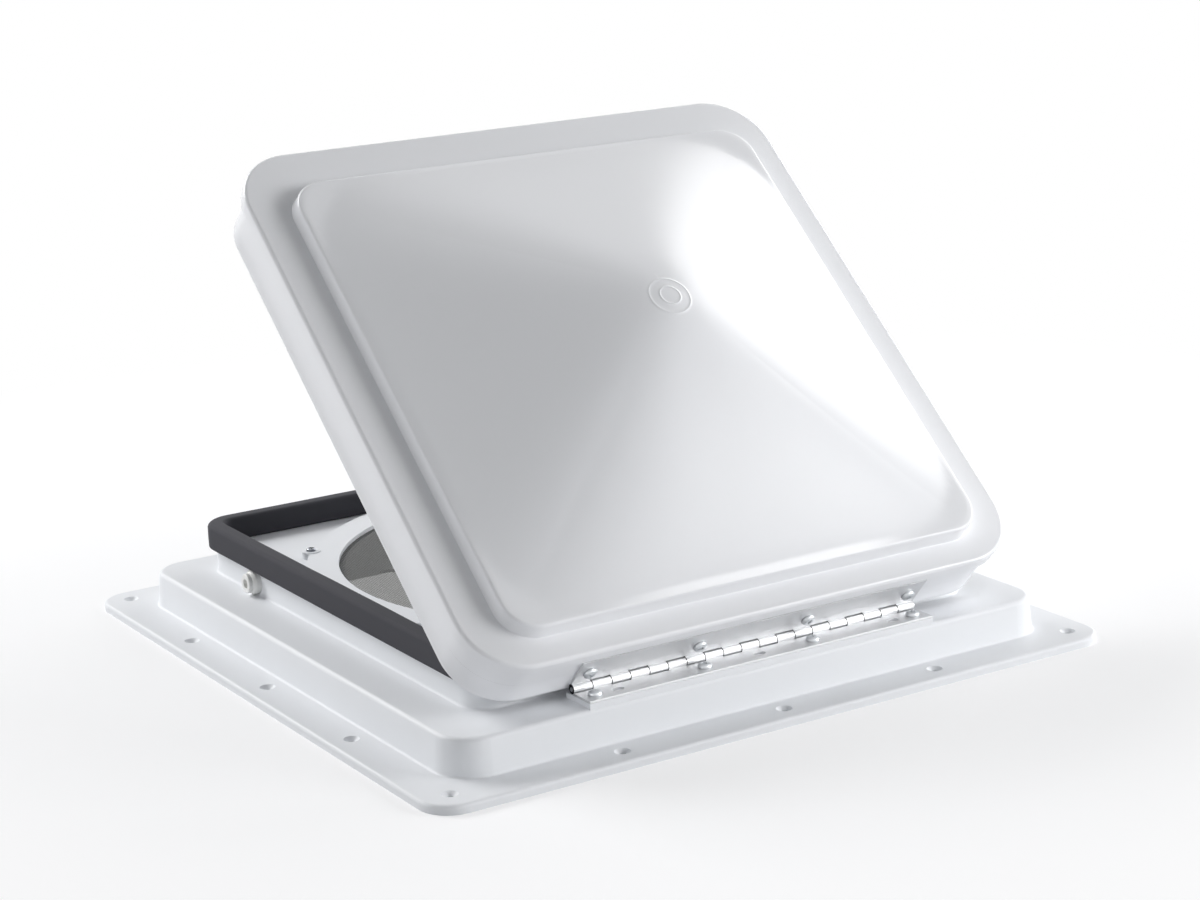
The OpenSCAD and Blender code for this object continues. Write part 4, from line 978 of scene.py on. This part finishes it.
class SCENE_OT_vent_stage(bpy.types.Operator):
    """Sets the camera, lamps, surroundings and floor"""

    bl_idname = "scene.vent_stage"
    bl_label = "Stage"

    def execute(self, context):
        stage = context.scene.vent_stage
        context.scene.view_settings.view_transform = "Standard"
        data = bpy.data.cameras.new("camera")
        data.sensor_width = SENSOR_WIDTH
        data.lens = stage.focal
        camera = bpy.data.objects.new("camera", data)
        look = Vector(stage.look).normalized()
        right = look.cross(Vector(stage.upright)).normalized()
        turned = Matrix((right, right.cross(look), -look)).transposed().to_4x4()
        camera.matrix_world = Matrix.Translation(stage.camera) @ turned
        context.scene.collection.objects.link(camera)
        context.scene.camera = camera
        studio_world(stage)
        softbox("key", (2.00, 0.45, 1.10), LAMP_AIM, (2.0, 1.4), stage.key)
        softbox("front", (1.70, -1.65, 0.74), LAMP_AIM, (1.4, 1.0), stage.front)
        softbox("fill", (0.20, -2.30, 1.00), LAMP_AIM, (1.4, 1.0), stage.fill)
        softbox("back", (-1.0, 1.75, 1.45), LAMP_AIM, (1.4, 1.0), stage.back)
        softbox("left", (-2.30, -0.10, 0.20), LAMP_AIM, (1.4, 0.36), stage.left)
        mesh = bmesh.new()
        bmesh.ops.create_grid(mesh, x_segments=1, y_segments=1, size=FLOOR_HALF)
        floor = finished("floor", mesh, floor_finish(stage))
        return {"FINISHED"}


class VIEW3D_PT_vent(bpy.types.Panel):
    """Sizes, colours and steps of the roof vent"""

    bl_label = "Roof vent"
    bl_idname = "VIEW3D_PT_vent"
    bl_space_type = "VIEW_3D"
    bl_region_type = "UI"
    bl_category = "Roof vent"

    def draw(self, context):
        for group in GROUPS:
            box = self.layout.box()
            box.label(text=group.__doc__)
            settings = getattr(context.scene, GROUPS[group])
            for key in group.__annotations__:
                box.prop(settings, key)
        for operator in OPERATORS:
            self.layout.operator(operator.bl_idname)


GROUPS = {
    VentLidSizes: "vent_lid",
    VentSealSizes: "vent_seal",
    VentScreenSizes: "vent_screen",
    VentScrewSizes: "vent_screws",
    VentColours: "vent_colours",
    VentStage: "vent_stage",
}
OPERATORS = [MATERIAL_OT_vent_finishes, MESH_OT_vent_lid, MESH_OT_vent_seal, MESH_OT_vent_screen,
             MESH_OT_vent_screws, SCENE_OT_vent_stage]


def register():
    for group, name in GROUPS.items():
        bpy.utils.register_class(group)
        setattr(bpy.types.Scene, name, PointerProperty(type=group))
    for operator in OPERATORS:
        bpy.utils.register_class(operator)
    bpy.utils.register_class(VIEW3D_PT_vent)


def unregister():
    bpy.utils.unregister_class(VIEW3D_PT_vent)
    for operator in reversed(OPERATORS):
        bpy.utils.unregister_class(operator)
    for group, name in GROUPS.items():
        delattr(bpy.types.Scene, name)
        bpy.utils.unregister_class(group)


def main():
    register()
    bpy.ops.material.vent_finishes()
    bpy.ops.mesh.vent_lid()
    bpy.ops.mesh.vent_seal()
    bpy.ops.mesh.vent_screen()
    bpy.ops.mesh.vent_screws()
    bpy.ops.scene.vent_stage()


if __name__ == "__main__":
    main()
